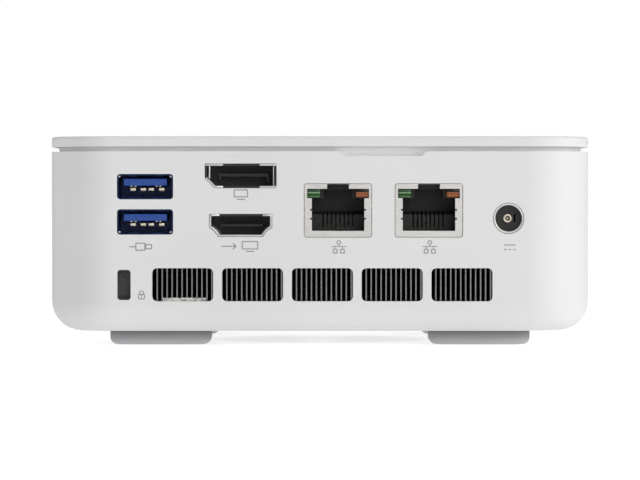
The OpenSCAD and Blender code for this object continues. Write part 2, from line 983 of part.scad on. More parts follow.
module fin_stack() {
    width = (fin_count - 1) * fin_pitch + fin_t;
    color("silver")
        translate([fin_first_x - fin_t / 2, fin_y[1], fin_z[0]])
            rotate([90, 0, 0])
                linear_extrude(fin_y[1] - fin_y[0])
                    difference() {
                        square([width, fin_z[1] - fin_z[0]]);
                        for (i = [0 : fin_count - 2])
                            translate([i * fin_pitch + fin_t, 0.4])
                                square([fin_pitch - fin_t, fin_z[1] - fin_z[0] - 0.8]);
                    }
    // folded tab that ties the first fins together
    color("silver")
        block([fin_tab_x, fin_y[0] - 0.15, fin_z[0] + 0.4],
              [fin_tab_x + 10.2, fin_y[0] + 0.1, vent_z - vent_h / 2 + 0.8]);
}

module cooler_screws() {
    color("silver")
        for (p = cooler_spots) {
            screw(p, 0.95, board_top + 1.3, spreader_z, 2, spreader_z - 1.4);
            difference() {
                rod_z(p, 2, board_top, board_top + 1.4);
                rod_z(p, 0.95 + thread_gap, board_top - 1, board_top + 2);
            }
        }
        for (p = fan_ears)
            screw(p, 1, board_z - 5, board_top, 2, board_top + 1.3);
}

// Plan of the blower: a round room that widens towards the fins
module blower_plan(grow, throat) {
    circle(fan_room_r + grow);
    polygon([
        [-fan_room_r - grow, 0], [fan_room_r + grow, 0],
        [throat_half + grow, throat], [-throat_half - grow, throat]
    ]);
}

// Lug that hangs the blower from the board
module fan_ear(spot) {
    difference() {
        union() {
            translate([spot.x, spot.y, fan_z])
                rotate(atan2(fan_y - spot.y, -spot.x))
                    translate([0, -2.5, 0])
                        cube([6, 5, 3]);
            rod_z(spot, 2.5, fan_z, board_z);
        }
        rod_z(spot, 1 + thread_gap, board_z - 6, board_z + 1);
    }
}

module fan_housing() {
    throat = fin_y[1] - fan_y;
    color("#202020")
        translate([0, fan_y, 0])
            union() {
                translate([0, 0, fan_z])
                    linear_extrude(1)
                        difference() {
                            blower_plan(fan_wall, throat + 0.2);
                            difference() {
                                circle(18);
                                circle(8);
                                for (a = [30, 150, 270])
                                    rotate(a)
                                        translate([0, -1.5])
                                            square([20, 3]);
                            }
                        }
                translate([0, 0, fan_z + 1])
                    linear_extrude(fan_top - 0.8 - fan_z - 1)
                        difference() {
                            blower_plan(fan_wall, throat + 0.2);
                            blower_plan(0, throat - 1);
                        }
                // fixed tube that holds the shaft
                translate([0, 0, fan_z + 1])
                    difference() {
                        cylinder(r = 3.2, h = 5);
                        translate([0, 0, 0.5])
                            cylinder(r = 1.55, h = 6);
                    }
                translate([0, -fan_y, 0])
                    for (p = fan_ears)
                        fan_ear(p);
            }
}

module fan_cover() {
    throat = fin_y[1] - fan_y;
    color("silver")
        translate([0, fan_y, fan_top - 0.8])
            linear_extrude(0.8)
                difference() {
                    blower_plan(fan_wall, throat + 0.2);
                    circle(19);
                }
}

module fan_rotor() {
    color("#303030")
        translate([0, fan_y, 0])
            difference() {
                union() {
                    translate([0, 0, 11])
                        cylinder(r = 12, h = 6.2);
                    translate([0, 0, 13.4])
                        cylinder(r = 18, h = 0.8);
                    for (i = [0 : blade_count - 1])
                        rotate(i * 360 / blade_count)
                            translate([15, 0, 11.2])
                                rotate(28)
                                    translate([0, -0.3, 0])
                                        cube([fan_r - 14, 0.6, 6]);
                }
                translate([0, 0, 10])
                    cylinder(r = 10.6, h = 6.2);
                translate([0, 0, 10])
                    cylinder(r = 1.5, h = 6.8);
            }
}

module fan_shaft() {
    color("silver")
        rod_z([0, fan_y], 1.5, 11.1, 16.8);
}

module fan_stator() {
    color("peru")
        translate([0, fan_y, fan_z + 1])
            difference() {
                union() {
                    cylinder(r = 5.2, h = 4.6);
                    for (a = [0 : 60 : 300])
                        rotate(a)
                            translate([4, -1.3, 0.4])
                                cube([5.6, 2.6, 3.8]);
                }
                translate([0, 0, -1])
                    cylinder(r = 3.25, h = 7);
            }
}

// Route of the blower's lead, from its wall to the plug under the board
fan_lead = [
    [31.9, 0, 14], [34.5, 1, 14.2], [37, 4, 15.5], [37.4, 9, 18], [37.4, 14, 20.4], [37.4, 19.6, 22]
];
wire_r = 0.35;
wire_pitch = 0.95;

module fan_wires() {
    color("#202020") {
        for (i = [-1.5 : 1.5])
            tube([for (p = fan_lead) p + [0, 0, i * wire_pitch]], wire_r, 3);
        block([35, 18.9, 20], [39.8, 23.4, board_z]);
    }
}

// ---------- drive ----------

drive_low = [-44, -30.5, tray_z + tray_t + 0.1];
drive_size = [100.2, 69.85, 7];
drive_screw_spots = [for (x = [14, 90.6], y = [4.07, 65.79]) [drive_low.x + x, drive_low.y + y]];
tray_half_x = in_x - 2;
tray_y = [-41.2, 52];

module drive_tray() {
    top = tray_z + tray_t;
    color("silver")
        difference() {
            union() {
                translate([0, (tray_y[0] + tray_y[1]) / 2, tray_z])
                    linear_extrude(tray_t)
                        rrect([2 * tray_half_x, tray_y[1] - tray_y[0]], 3);
                // turned-up edges
                for (y = [tray_y[0], tray_y[1] - 1])
                    block([-50, y, tray_z], [50, y + 1, top + 3]);
            }
            for (p = standoff_spots)
                rod_z(p, 1.4, tray_z - 1, top + 1);
            for (p = drive_screw_spots)
                rod_z(p, 1.7, tray_z - 1, top + 1);
            // slot for the drive cable
            block([-57.6, 10, tray_z - 1], [-50.4, 34, top + 1]);
            // air holes
            for (x = [-30, 0, 30])
                translate([x, 4.5, tray_z - 1])
                    linear_extrude(tray_t + 2)
                        rrect([20, 44], 4);
        }
}

module solid_state_drive() {
    color("dimgray")
        difference() {
            translate(drive_low)
                cube(drive_size);
            translate(drive_low + [5, 4, drive_size.z - 0.3])
                cube([90, 62, 1]);
            for (p = drive_screw_spots)
                rod_z(p, 1.5 + thread_gap, drive_low.z - 1, drive_low.z + 3.2);
            // recess for the connector
            translate(drive_low + [-1, 25, 1])
                cube([5, 42, 4.6]);
        }
}

module drive_screws() {
    color("silver")
        for (p = drive_screw_spots)
            screw(p, 1.5, drive_low.z + 3, tray_z, 2.8, tray_z - 1.3);
}

// Plug on the drive, ribbon down through the tray, and the socket on the board
module drive_cable() {
    bend = 2.5;
    t = 0.4;
    x1 = -55;
    z1 = drive_low.z + 3.5;
    y0 = 13;
    color("#202020") {
        block([-49.5, drive_low.y + 25.5, drive_low.z + 1.3],
              [drive_low.x + 3.5, drive_low.y + 66.5, drive_low.z + 5.3]);
        block([-57.5, 11, board_top], [-52.5, 33, board_top + 2.6]);
    }
    color("peru")
        translate([0, y0 + 18, 0])
            rotate([90, 0, 0])
                linear_extrude(18)
                    union() {
                        translate([x1 + bend, z1 - t / 2])
                            square([-49.5 - x1 - bend, t]);
                        translate([x1 + bend, z1 - bend])
                            intersection() {
                                difference() {
                                    circle(bend + t / 2);
                                    circle(bend - t / 2);
                                }
                                translate([-5, 0])
                                    square(5);
                            }
                        translate([x1 - t / 2, board_top + 2.6])
                            square([t, z1 - bend - board_top - 2.6]);
                    }
}

// ---------- the nodes ----------

body_shell();
base_cover();
rubber_feet();
base_screws();
bracket_inserts();
lid();
power_button();
button_light_ring();
switch_plunger();
power_switch();
rear_usb_block();
rear_usb_shells();
rear_usb_tongues();
rear_usb_contacts();
video_port_block();
video_port_shells();
video_port_tongues();
lan_jack_shields();
lan_jack_housings();
lan_green_lights();
lan_amber_lights();
lan_contacts();
dc_jack_body();
dc_jack_sleeve();
dc_jack_pin();
lock_bracket();
front_port_shells();
front_usb_tongues();
usb_c_tongue();
audio_jack();
main_board();
board_screws();
tray_standoffs();
processor();
power_coils();
capacitors();
board_chips();
memory_sockets();
memory_modules();
ssd_socket();
ssd_module();
module_chips();
wifi_card();
wifi_antennas();
antenna_cables();
coin_cell();
heat_spreader();
heat_pipes();
fin_stack();
cooler_screws();
fan_housing();
fan_cover();
fan_rotor();
fan_shaft();
fan_stator();
fan_wires();
drive_tray();
solid_state_drive();
drive_screws();
drive_cable();
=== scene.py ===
import json
import math
import bmesh
import bpy
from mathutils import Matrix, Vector

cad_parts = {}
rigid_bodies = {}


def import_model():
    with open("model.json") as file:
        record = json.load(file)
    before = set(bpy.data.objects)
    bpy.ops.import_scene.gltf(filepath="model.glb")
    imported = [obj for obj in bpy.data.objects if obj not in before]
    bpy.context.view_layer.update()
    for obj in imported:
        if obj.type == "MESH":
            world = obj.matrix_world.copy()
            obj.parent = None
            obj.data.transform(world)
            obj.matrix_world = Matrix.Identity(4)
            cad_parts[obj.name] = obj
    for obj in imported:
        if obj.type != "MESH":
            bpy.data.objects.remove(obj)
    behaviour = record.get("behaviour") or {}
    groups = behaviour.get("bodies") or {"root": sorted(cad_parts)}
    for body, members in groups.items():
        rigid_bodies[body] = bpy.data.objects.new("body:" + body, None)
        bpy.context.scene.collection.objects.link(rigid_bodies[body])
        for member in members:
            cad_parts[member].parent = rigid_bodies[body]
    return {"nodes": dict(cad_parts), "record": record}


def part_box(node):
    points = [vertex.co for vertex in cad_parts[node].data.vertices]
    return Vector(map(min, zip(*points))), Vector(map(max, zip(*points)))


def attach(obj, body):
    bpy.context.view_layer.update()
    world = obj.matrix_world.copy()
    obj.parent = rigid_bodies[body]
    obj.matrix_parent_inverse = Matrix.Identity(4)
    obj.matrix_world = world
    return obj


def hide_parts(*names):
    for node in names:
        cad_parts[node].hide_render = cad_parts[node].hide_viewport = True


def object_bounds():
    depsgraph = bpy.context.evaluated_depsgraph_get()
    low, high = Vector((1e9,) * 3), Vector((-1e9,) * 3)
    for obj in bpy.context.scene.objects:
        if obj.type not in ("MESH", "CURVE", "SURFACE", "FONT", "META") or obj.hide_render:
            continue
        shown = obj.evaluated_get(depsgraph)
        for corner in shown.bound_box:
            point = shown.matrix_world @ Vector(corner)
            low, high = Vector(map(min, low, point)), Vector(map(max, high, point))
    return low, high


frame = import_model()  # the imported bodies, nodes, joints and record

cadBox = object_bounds()
mm = 0.001  # one millimetre in Blender's metres
closeBy = 2e-6  # two heights or sides this near count as the same
mountPlace = {mount["name"]: Vector(mount["pos_m"]) for mount in frame["record"]["mounts"]}
print("frame loaded:", len(frame["nodes"]), "nodes")


# camera and studio

cameraView = {
    "lens": 232.0, "sensor": 36.0,
    "place": (0.0, -1.034, 0.0328),
    "tiltDown": 0.456,  # degrees
}

studioLights = {  # place and aim in metres, size in metres, power in watts
    "rightWindow": {"place": (1.15, -0.42, 0.47), "aim": (0.03, 0.0, 0.03), "size": 0.7, "power": 5.2},
    "frontSoft": {"place": (0.45, -1.4, 0.63), "aim": (0.0, 0.0, 0.03), "size": 0.9, "power": 5.8},
    "leftRim": {"place": (-1.2, 0.5, 0.4), "aim": (0.0, 0.0, 0.03), "size": 0.8, "power": 3.0},
    "overhead": {"place": (0.15, 0.1, 1.2), "aim": (0.0, 0.0, 0.03), "size": 1.1, "power": 4.0},
}

roomGlow = {  # strengths; the eye sees the room brighter than it lights the object
    "seen": 1.0, "lighting": 0.2, "floorSeen": 0.6, "floorFar": 0.98, "floorLighting": 0.25,
    "floorFade": (0.25, 1.5),  # metres from the object between which the floor brightens
    "floorSize": 30.0, "floorDrop": 0.06,  # metres across, millimetres below the feet
}


def hexColour(text):
    channels = [int(text[i:i + 2], 16) / 255 for i in (1, 3, 5)]
    return [c / 12.92 if c <= 0.04045 else ((c + 0.055) / 1.055) ** 2.4 for c in channels] + [1.0]


def addNode(tree, kind, inputs=None, **settings):
    node = tree.nodes.new(kind)
    for name, value in settings.items():
        setattr(node, name, value)
    for name, value in (inputs or {}).items():
        if isinstance(value, bpy.types.NodeSocket):
            tree.links.new(value, node.inputs[name])
        else:
            node.inputs[name].default_value = value
    return node


def deselectAll():
    if bpy.context.object and bpy.context.object.mode != "OBJECT":
        bpy.ops.object.mode_set(mode="OBJECT")
    bpy.ops.object.select_all(action="DESELECT")


def makeActive(piece):
    deselectAll()
    piece.select_set(True)
    bpy.context.view_layer.objects.active = piece


def placeCamera():
    pitch = math.radians(90 - cameraView["tiltDown"])
    bpy.ops.object.camera_add(location=cameraView["place"], rotation=(pitch, 0, 0))
    camera = bpy.context.object
    camera.data.lens = cameraView["lens"]
    camera.data.sensor_width = cameraView["sensor"]
    bpy.context.scene.camera = camera


def placeLights():
    for name, light in studioLights.items():
        place = Vector(light["place"])
        turn = (Vector(light["aim"]) - place).to_track_quat("-Z", "Y").to_euler()
        bpy.ops.object.light_add(type="AREA", location=place, rotation=turn)
        lamp = bpy.context.object
        lamp.name = name
        lamp.data.size = light["size"]
        lamp.data.energy = light["power"]
        lamp.visible_camera = False


def paintRoom():
    world = bpy.data.worlds.new("studioRoom")
    bpy.context.scene.world = world
    world.use_nodes = True
    tree = world.node_tree
    tree.nodes.clear()
    white = hexColour("#FFFFFF")
    seen, glow = (addNode(tree, "ShaderNodeBackground", {"Color": white, "Strength": roomGlow[use]})
                  for use in ("seen", "lighting"))
    ray = addNode(tree, "ShaderNodeLightPath")
    mix = addNode(tree, "ShaderNodeMixShader",
                  {0: ray.outputs["Is Camera Ray"], 1: glow.outputs[0], 2: seen.outputs[0]})
    addNode(tree, "ShaderNodeOutputWorld", {"Surface": mix.outputs[0]})


def layFloor():
    deselectAll()
    bpy.ops.mesh.primitive_plane_add(size=roomGlow["floorSize"], location=(0, 0, -roomGlow["floorDrop"] * mm))
    floor = bpy.context.object
    floor.name = "studioFloor"
    paper = bpy.data.materials.new("paperFloor")  # matt white paper, clear from below so the underside shows
    paper.use_nodes = True
    tree = paper.node_tree
    shader = tree.nodes["Principled BSDF"]
    for socket, value in (("Base Color", hexColour("#F4F4F4")), ("Roughness", 0.9), ("Specular IOR Level", 0.0),
                          ("Emission Color", hexColour("#FFFFFF"))):
        shader.inputs[socket].default_value = value
    place = addNode(tree, "ShaderNodeTexCoord").outputs["Object"]
    away = addNode(tree, "ShaderNodeVectorMath", {0: place}, operation="LENGTH").outputs["Value"]
    near, far = roomGlow["floorFade"]
    seen = addNode(tree, "ShaderNodeMapRange", {
        "Value": away, "From Min": near, "From Max": far,
        "To Min": roomGlow["floorSeen"], "To Max": roomGlow["floorFar"]})
    ray = addNode(tree, "ShaderNodeLightPath")
    glow = addNode(tree, "ShaderNodeMapRange", {
        "Value": ray.outputs["Is Camera Ray"],
        "To Min": roomGlow["floorLighting"], "To Max": seen.outputs["Result"]})
    tree.links.new(glow.outputs["Result"], shader.inputs["Emission Strength"])
    side = addNode(tree, "ShaderNodeNewGeometry")
    clear = addNode(tree, "ShaderNodeBsdfTransparent")
    mix = addNode(tree, "ShaderNodeMixShader",
                  {0: side.outputs["Backfacing"], 1: shader.outputs[0], 2: clear.outputs[0]})
    tree.links.new(mix.outputs[0], tree.nodes["Material Output"].inputs["Surface"])
    floor.data.materials.append(paper)


deselectAll()
placeCamera()
placeLights()
paintRoom()
layFloor()
bpy.context.scene.view_settings.view_transform = "Standard"
print("studio ready")


# finishes

def newFinish(name, colour, roughness, metallic=0.0, ior=None):
    finish = bpy.data.materials.new(name)
    finish.use_nodes = True
    tree = finish.node_tree
    shader = tree.nodes["Principled BSDF"]
    shader.inputs["Base Color"].default_value = hexColour(colour)
    shader.inputs["Roughness"].default_value = roughness
    shader.inputs["Metallic"].default_value = metallic
    if ior:
        shader.inputs["IOR"].default_value = ior
    place = addNode(tree, "ShaderNodeTexCoord").outputs["Object"]
    return finish, tree, shader, place


def perMetre(millimetres):  # texture scale for a pattern of this size
    return 1000.0 / millimetres


def roughen(tree, shader, pattern, depth, low, high):  # one pattern drives bump and roughness
    bump = addNode(tree, "ShaderNodeBump", {"Height": pattern, "Distance": depth * mm, "Strength": 1.0})
    tree.links.new(bump.outputs["Normal"], shader.inputs["Normal"])
    spread = addNode(tree, "ShaderNodeMapRange", {"Value": pattern, "To Min": low, "To Max": high})
    tree.links.new(spread.outputs["Result"], shader.inputs["Roughness"])


def tint(tree, shader, pattern, dark, light, start=0.3, end=0.7):  # one pattern moves between two colours
    ramp = addNode(tree, "ShaderNodeValToRGB", {"Fac": pattern})
    ramp.color_ramp.elements[0].color = hexColour(dark)
    ramp.color_ramp.elements[0].position = start
    ramp.color_ramp.elements[1].color = hexColour(light)
    ramp.color_ramp.elements[1].position = end
    tree.links.new(ramp.outputs["Color"], shader.inputs["Base Color"])


# one pattern gives a finish its bump, roughness and two shades; size and depth are millimetres, and "along"
# stretches the pattern the way the metal was rolled or drawn
def patternFinish(name, shades, size, depth, rough, metallic=0.0, ior=None, detail=3.0, along=None,
                  ends=(0.3, 0.7), kind="ShaderNodeTexNoise", more=None, output="Fac", sockets=None,
                  **settings):
    finish, tree, shader, place = newFinish(name, shades[0], sum(rough) / 2, metallic, ior)
    if along:
        place = addNode(tree, "ShaderNodeMapping", {"Vector": place, "Scale": along}).outputs["Vector"]
    inputs = {"Detail": detail} if more is None else more
    texture = addNode(tree, kind, {"Vector": place, "Scale": perMetre(size), **inputs}, **settings)
    if depth:
        roughen(tree, shader, texture.outputs[output], depth, *rough)
    tint(tree, shader, texture.outputs[output], *shades, *ends)
    for socket, value in (sockets or {}).items():
        shader.inputs[socket].default_value = value
    return finish


def trackFinish(name, roughness, grounds, track, size, line, cell, depth=0.0, coat=0.0):  # thin tracks
    finish, tree, shader, place = newFinish(name, grounds[0], roughness, ior=1.5)
    first, second, mortar = (hexColour(colour) for colour in (*grounds, track))
    tracks = addNode(tree, "ShaderNodeTexBrick", {
        "Vector": place, "Color1": first, "Color2": second, "Mortar": mortar,
        "Scale": perMetre(size), "Mortar Size": line, "Brick Width": cell[0], "Row Height": cell[1]})
    tree.links.new(tracks.outputs["Color"], shader.inputs["Base Color"])
    if depth:
        bump = addNode(tree, "ShaderNodeBump", {"Height": tracks.outputs["Fac"], "Distance": depth * mm})
        tree.links.new(bump.outputs["Normal"], shader.inputs["Normal"])
    shader.inputs["Coat Weight"].default_value = coat
    return finish


def mouldedAbs():  # ABS from a spark-eroded mould: matt white with a grain that only a close look finds
    finish, tree, shader, place = newFinish("mouldedAbs", "#F0F0F0", 0.5, ior=1.53)
    grain = addNode(tree, "ShaderNodeTexNoise", {"Vector": place, "Scale": perMetre(0.45), "Detail": 3.0})
    cloud = addNode(tree, "ShaderNodeTexNoise", {"Vector": place, "Scale": perMetre(40), "Detail": 1.0})
    roughen(tree, shader, grain.outputs["Fac"], 0.012, 0.46, 0.56)
    tint(tree, shader, cloud.outputs["Fac"], "#EEEEEE", "#F2F2F2")
    return finish


def pressedRubber():  # rubber pressed in a blasted mould: dull grey, with painted shade darkening it up towards the case and painted floor light making it paler towards the ground
    finish, tree, shader, place = newFinish("pressedRubber", "#8C8C8E", 0.85, ior=1.52)
    grain = addNode(tree, "ShaderNodeTexNoise", {"Vector": place, "Scale": perMetre(0.5), "Detail": 4.0})
    roughen(tree, shader, grain.outputs["Fac"], 0.03, 0.78, 0.92)
    height = addNode(tree, "ShaderNodeSeparateXYZ", {"Vector": place}).outputs["Z"]
    # painted light by height: painted shade under the case at the top, painted floor light at the ground
    paintedShadeByHeight = addNode(tree, "ShaderNodeMapRange", {"Value": height, "From Min": 0.0004, "From Max": 0.003})
    tint(tree, shader, paintedShadeByHeight.outputs["Result"], "#DADADC", "#8E8E90", 0.0, 1.0)
    return finish


def tintedLens(name, node, glow, *paintedLightBands):  # clear tinted lens with painted light: bands of painted highlight and painted shade up its height, lowest first, and a faint painted glow
    finish, tree, shader, place = newFinish(name, paintedLightBands[0][1], 0.2, ior=1.49)
    low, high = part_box(node)
    height = addNode(tree, "ShaderNodeSeparateXYZ", {"Vector": place}).outputs["Z"]
    rise = addNode(tree, "ShaderNodeMapRange", {"Value": height, "From Min": low.z, "From Max": high.z})
    tint(tree, shader, rise.outputs["Result"], paintedLightBands[0][1], paintedLightBands[-1][1], paintedLightBands[0][0], paintedLightBands[-1][0])
    ramp = shader.inputs["Base Color"].links[0].from_node.color_ramp
    for position, colour in paintedLightBands[1:-1]:
        ramp.elements.new(position).color = hexColour(colour)
    # painted glow: the lens shines faintly in the colours of its painted bands
    tree.links.new(shader.inputs["Base Color"].links[0].from_socket, shader.inputs["Emission Color"])
    shader.inputs["Emission Strength"].default_value = glow
    return finish


def galvanisedSheet():  # zinc coated sheet: cool grey with frosty crystal patches
    finish, tree, shader, place = newFinish("galvanisedSheet", "#AEB2B6", 0.4, 1.0)
    spangle = addNode(tree, "ShaderNodeTexVoronoi", {"Vector": place, "Scale": perMetre(5)})
    shade = addNode(tree, "ShaderNodeSeparateColor", {"Color": spangle.outputs["Color"]})
    tint(tree, shader, shade.outputs["Red"], "#A2A7AC", "#B8BCC0", 0.0, 1.0)
    roughen(tree, shader, shade.outputs["Red"], 0.0, 0.34, 0.5)
    return finish


wavesPerUnit = 20 / math.tau  # a wave texture repeats this often in one unit of its scale
milky = {"Subsurface Weight": 0.4, "Subsurface Radius": (mm, mm, mm)}
finishes = {
    "case_plastic": mouldedAbs(),
    "foot_rubber": pressedRubber(),
    # zinc plated screw steel: pale blue-grey, slightly uneven
    "screw_steel": patternFinish("zincSteel", ("#B4B8BD", "#CACCCF"), 1.2, 0.004, (0.28, 0.45), 1.0,
        detail=4.0),
    # turned brass: warm yellow with fine tool rings round its axis
    "brass": patternFinish("turnedBrass", ("#BD9644", "#D3AE5C"), 0.493 * wavesPerUnit, 0.005, (0.25, 0.4), 1.0,
        ends=(0.0, 1.0), kind="ShaderNodeTexWave", more={"Distortion": 0.4}, bands_direction="Z"),
    # milky acrylic that carries the light round the button
    "light_plastic": patternFinish("diffusingAcrylic", ("#D8E4E9", "#E3EDF0"), 1.5, 0.002, (0.18, 0.28),
        ior=1.49, detail=2.0, sockets=milky),
    # glass-filled nylon of connectors: charcoal, half matt, with faint fibre flecks
    "black_plastic": patternFinish("mouldedNylon", ("#201F1F", "#2E2D2C"), 0.35, 0.006, (0.42, 0.6),
        ior=1.53, detail=5.0, along=(1.0, 0.3, 1.0)),
    # nickel plated steel sheet, rolled and stamped: soft pale grey along the rolling marks
    "connector_steel": patternFinish("nickelSheet", ("#E0DEDB", "#EEECE9"), 0.25, 0.003, (0.26, 0.42), 1.0,
        along=(0.12, 1.0, 1.0)),
    # nickel of the USB shells, painted a dark blue-grey: the blue is a painted reflection of the blue tongues and
    # the darkness is painted shade in the ports; a mirror with slight handling marks
    "usb_steel": patternFinish("blackNickel", ("#1A2746", "#2A3A62"), 0.8, 0.003, (0.25, 0.4), 1.0,
        detail=4.0),
    # blue PBT of fast USB tongues: bright, half glossy, a little uneven
    "blue_plastic": patternFinish("bluePbt", ("#14469C", "#1C52AC"), 0.6, 0.004, (0.32, 0.46), ior=1.57),
    # thin gold flash over nickel: pale cream metal, polished where a plug rubs
    "contact_gold": patternFinish("goldContact", ("#EADFC2", "#F6F1E2"), 0.5, 0.002, (0.22, 0.38), 1.0,
        detail=2.0),
    # lenses with painted highlight and shade bands and a faint painted glow
    "green_light": tintedLens("greenLens", "lan_green_lights", 0.05, (0.04, "#16330F"), (0.14, "#5E8A58"),
        (0.26, "#1F4A18"), (0.6, "#234F1C"), (0.72, "#93B48E"), (0.84, "#3C5A3F")),
    "amber_light": tintedLens("amberLens", "lan_amber_lights", 0.05, (0.05, "#4E2610"), (0.22, "#8C4C28"),
        (0.4, "#A0603A"), (0.6, "#8A4624"), (0.74, "#A46A42"), (0.84, "#221C18")),
    # blackened spring steel: dark, dry, with cloudy oxide; on the lock seat its darkness also serves as painted
    # shade in the slot
    "dark_steel": patternFinish("blackSteel", ("#606061", "#787879"), 1.0, 0.006, (0.5, 0.72), 0.6,
        detail=5.0),
    # epoxy board under green mask: glossy, with fine tracks just under the surface
    "circuit_board": trackFinish("solderMask", 0.3, ("#0F4A30", "#0C3F2A"), "#1F6A44", 10, 0.03,
        (0.55, 0.12), 0.01, 0.4),
    # moulded resin of chips: near black, matt, sandy
    "chip_black": patternFinish("epoxyResin", ("#171719", "#202023"), 0.3, 0.006, (0.52, 0.68), ior=1.55,
        detail=2.0),
    # pressed ferrite of coils: dusty dark grey with specks
    "coil_grey": patternFinish("pressedFerrite", ("#3F3F41", "#58585A"), 0.4, 0.01, (0.66, 0.82), ior=1.6,
        kind="ShaderNodeTexVoronoi", more={}, output="Distance"),
    # drawn aluminium can and cover: bright, with soft vertical draw lines
    "can_aluminium": patternFinish("drawnAluminium", ("#BFC0C2", "#D3D4D6"), 0.4, 0.004, (0.28, 0.45), 1.0,
        along=(1.0, 1.0, 0.1)),
    # pressed nickel steel of the coin cell: bright with a brushed face
    "cell_steel": patternFinish("nickelCell", ("#BDBBB6", "#D4D2CD"), 0.3, 0.004, (0.2, 0.38), 1.0,
        detail=4.0, along=(0.05, 1.0, 1.0)),
    # antenna film: black lacquer with fine copper meanders showing through
    "antenna_foil": trackFinish("antennaFilm", 0.4, ("#1D1B1A", "#211E1C"), "#6A4A30", 8, 0.06, (0.5, 0.3)),
    # extruded PVC jacket: black, smooth, softly shining along its length
    "cable_black": patternFinish("cableJacket", ("#151515", "#1F1F1F"), 2, 0.004, (0.38, 0.52), ior=1.53,
        detail=2.0),
    # bare copper: orange-pink, a little tarnished in clouds
    "copper": patternFinish("bareCopper", ("#AD6240", "#D08660"), 6, 0.006, (0.28, 0.48), 1.0, detail=5.0),
    # stamped aluminium fins, given a darker grey than bare aluminium as painted shade between the close fins: pale
    # edges that catch the light, rolling marks down the faces
    "fin_aluminium": patternFinish("stampedFins", ("#949392", "#A8A7A6"), 0.5, 0.004, (0.18, 0.3), 1.0,
        along=(1.0, 0.1, 1.0)),
    "tray_steel": galvanisedSheet(),
    # satin anodised drive case: dark grey, even, with fine blasting
    "drive_case": patternFinish("driveCase", ("#505256", "#5C5E62"), 0.4, 0.006, (0.4, 0.54), 0.6),
    # flat cable of polyimide film: amber, glossy, with its conductors showing as stripes
    "ribbon_film": patternFinish("polyimideRibbon", ("#A25E24", "#C98A48"), 1.973 * wavesPerUnit, 0.01, (0.25, 0.38),
        ior=1.6, ends=(0.45, 0.55), kind="ShaderNodeTexWave", more={}, bands_direction="X"),
    # pad-printed grey ink on the case: flat, with a slightly uneven tone
    "print_ink": patternFinish("padInk", ("#9C9C9C", "#A8A8A8"), 0.15, 0, (0.6, 0.6), ior=1.5, detail=2.0),
    # hot-tinned steel edge: pale, with darker runs where the solder thins out
    "tinned_edge": patternFinish("tinnedEdge", ("#B4B2AE", "#F4F3F0"), 0.9, 0.01, (0.38, 0.55), 0.8,
        detail=4.0, ends=(0.38, 0.55)),
}

for row in frame["record"]["subparts"]:
    for slot in frame["nodes"][row["node"]].material_slots:
        slot.material = finishes[row["material_slot"]]
print("finishes ready:", len(finishes))


# shaping tools

def at(x, y, z):  # a point given in millimetres
    return Vector((x, y, z)) * mm


def inMillimetres(point):
    return Vector(point) / mm


def boxOf(node):  # low and high corner of a designed node
    return [inMillimetres(corner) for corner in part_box(node)]


def settle(name):  # names the new object and moves its place into its mesh
    piece = bpy.context.object
    piece.name = name
    piece.data.name = name
    bpy.ops.object.transform_apply(location=True, rotation=True, scale=True)
    return piece


def block(name, low, high):  # corners in millimetres, as in all the tools below
    deselectAll()
    low, high = at(*low), at(*high)
    bpy.ops.mesh.primitive_cube_add(size=1, location=(low + high) / 2, scale=high - low)
    return settle(name)


def rod(name, start, end, radius, sides=48):
    deselectAll()
    start, end = at(*start), at(*end)
    turn = (end - start).to_track_quat("Z", "Y").to_euler()
    bpy.ops.mesh.primitive_cylinder_add(vertices=sides, radius=radius * mm, depth=(end - start).length,
                                        location=(start + end) / 2, rotation=turn)
    return settle(name)


def slab(name, spot, outline, y0, y1):  # bar along Y; the outline is x0, z0, x1, z1 from the (x, z) spot
    x, z = spot
    return block(name, (x + outline[0], y0, z + outline[1]), (x + outline[2], y1, z + outline[3]))


def pin(name, spot, y0, y1, radius, sides=48):  # round bar along Y at an (x, z) spot
    return rod(name, (spot[0], y0, spot[1]), (spot[0], y1, spot[1]), radius, sides)


def pick(piece, kind, test):  # opens edit mode with only the faces or edges that pass the test selected
    makeActive(piece)
    bpy.ops.object.mode_set(mode="EDIT")
    bpy.ops.mesh.select_mode(type=kind)
    bpy.ops.mesh.select_all(action="DESELECT")
    mesh = bmesh.from_edit_mesh(piece.data)
    for item in mesh.faces if kind == "FACE" else mesh.edges:
        if test(item):
            item.select_set(True)
    bmesh.update_edit_mesh(piece.data)


def liesAt(axis, value):  # every corner of the item is at this place on the axis
    return lambda item: all(abs(v.co[axis] - value * mm) < closeBy for v in item.verts)


def runsAlong(axis):  # the edge is parallel to the axis
    def test(edge):
        span = edge.verts[1].co - edge.verts[0].co
        return abs(abs(span[axis]) - span.length) < closeBy
    return test


def both(*tests):
    return lambda item: all(test(item) for test in tests)


def bevel(piece, test, width, steps=3, profile=0.5):
    pick(piece, "EDGE", test)
    bpy.ops.mesh.bevel(offset=width * mm, segments=steps, profile=profile, affect="EDGES")
    bpy.ops.object.mode_set(mode="OBJECT")


def extrude(piece, test, *moves):
    pick(piece, "FACE", test)
    for move in moves:
        bpy.ops.mesh.extrude_region_move(TRANSFORM_OT_translate={"value": at(*move)})
    bpy.ops.object.mode_set(mode="OBJECT")


def hollow(piece, test, wall, move):  # insets the picked face by the wall and pushes it in
    pick(piece, "FACE", test)
    bpy.ops.mesh.inset(thickness=wall * mm)
    bpy.ops.mesh.extrude_region_move(TRANSFORM_OT_translate={"value": at(*move)})
    bpy.ops.object.mode_set(mode="OBJECT")


def modify(piece, kind, **settings):  # adds one modifier and applies it
    makeActive(piece)
    bpy.ops.object.modifier_add(type=kind)
    modifier = piece.modifiers[-1]
    for name, value in settings.items():
        setattr(modifier, name, value)
    bpy.ops.object.modifier_apply(modifier=modifier.name)


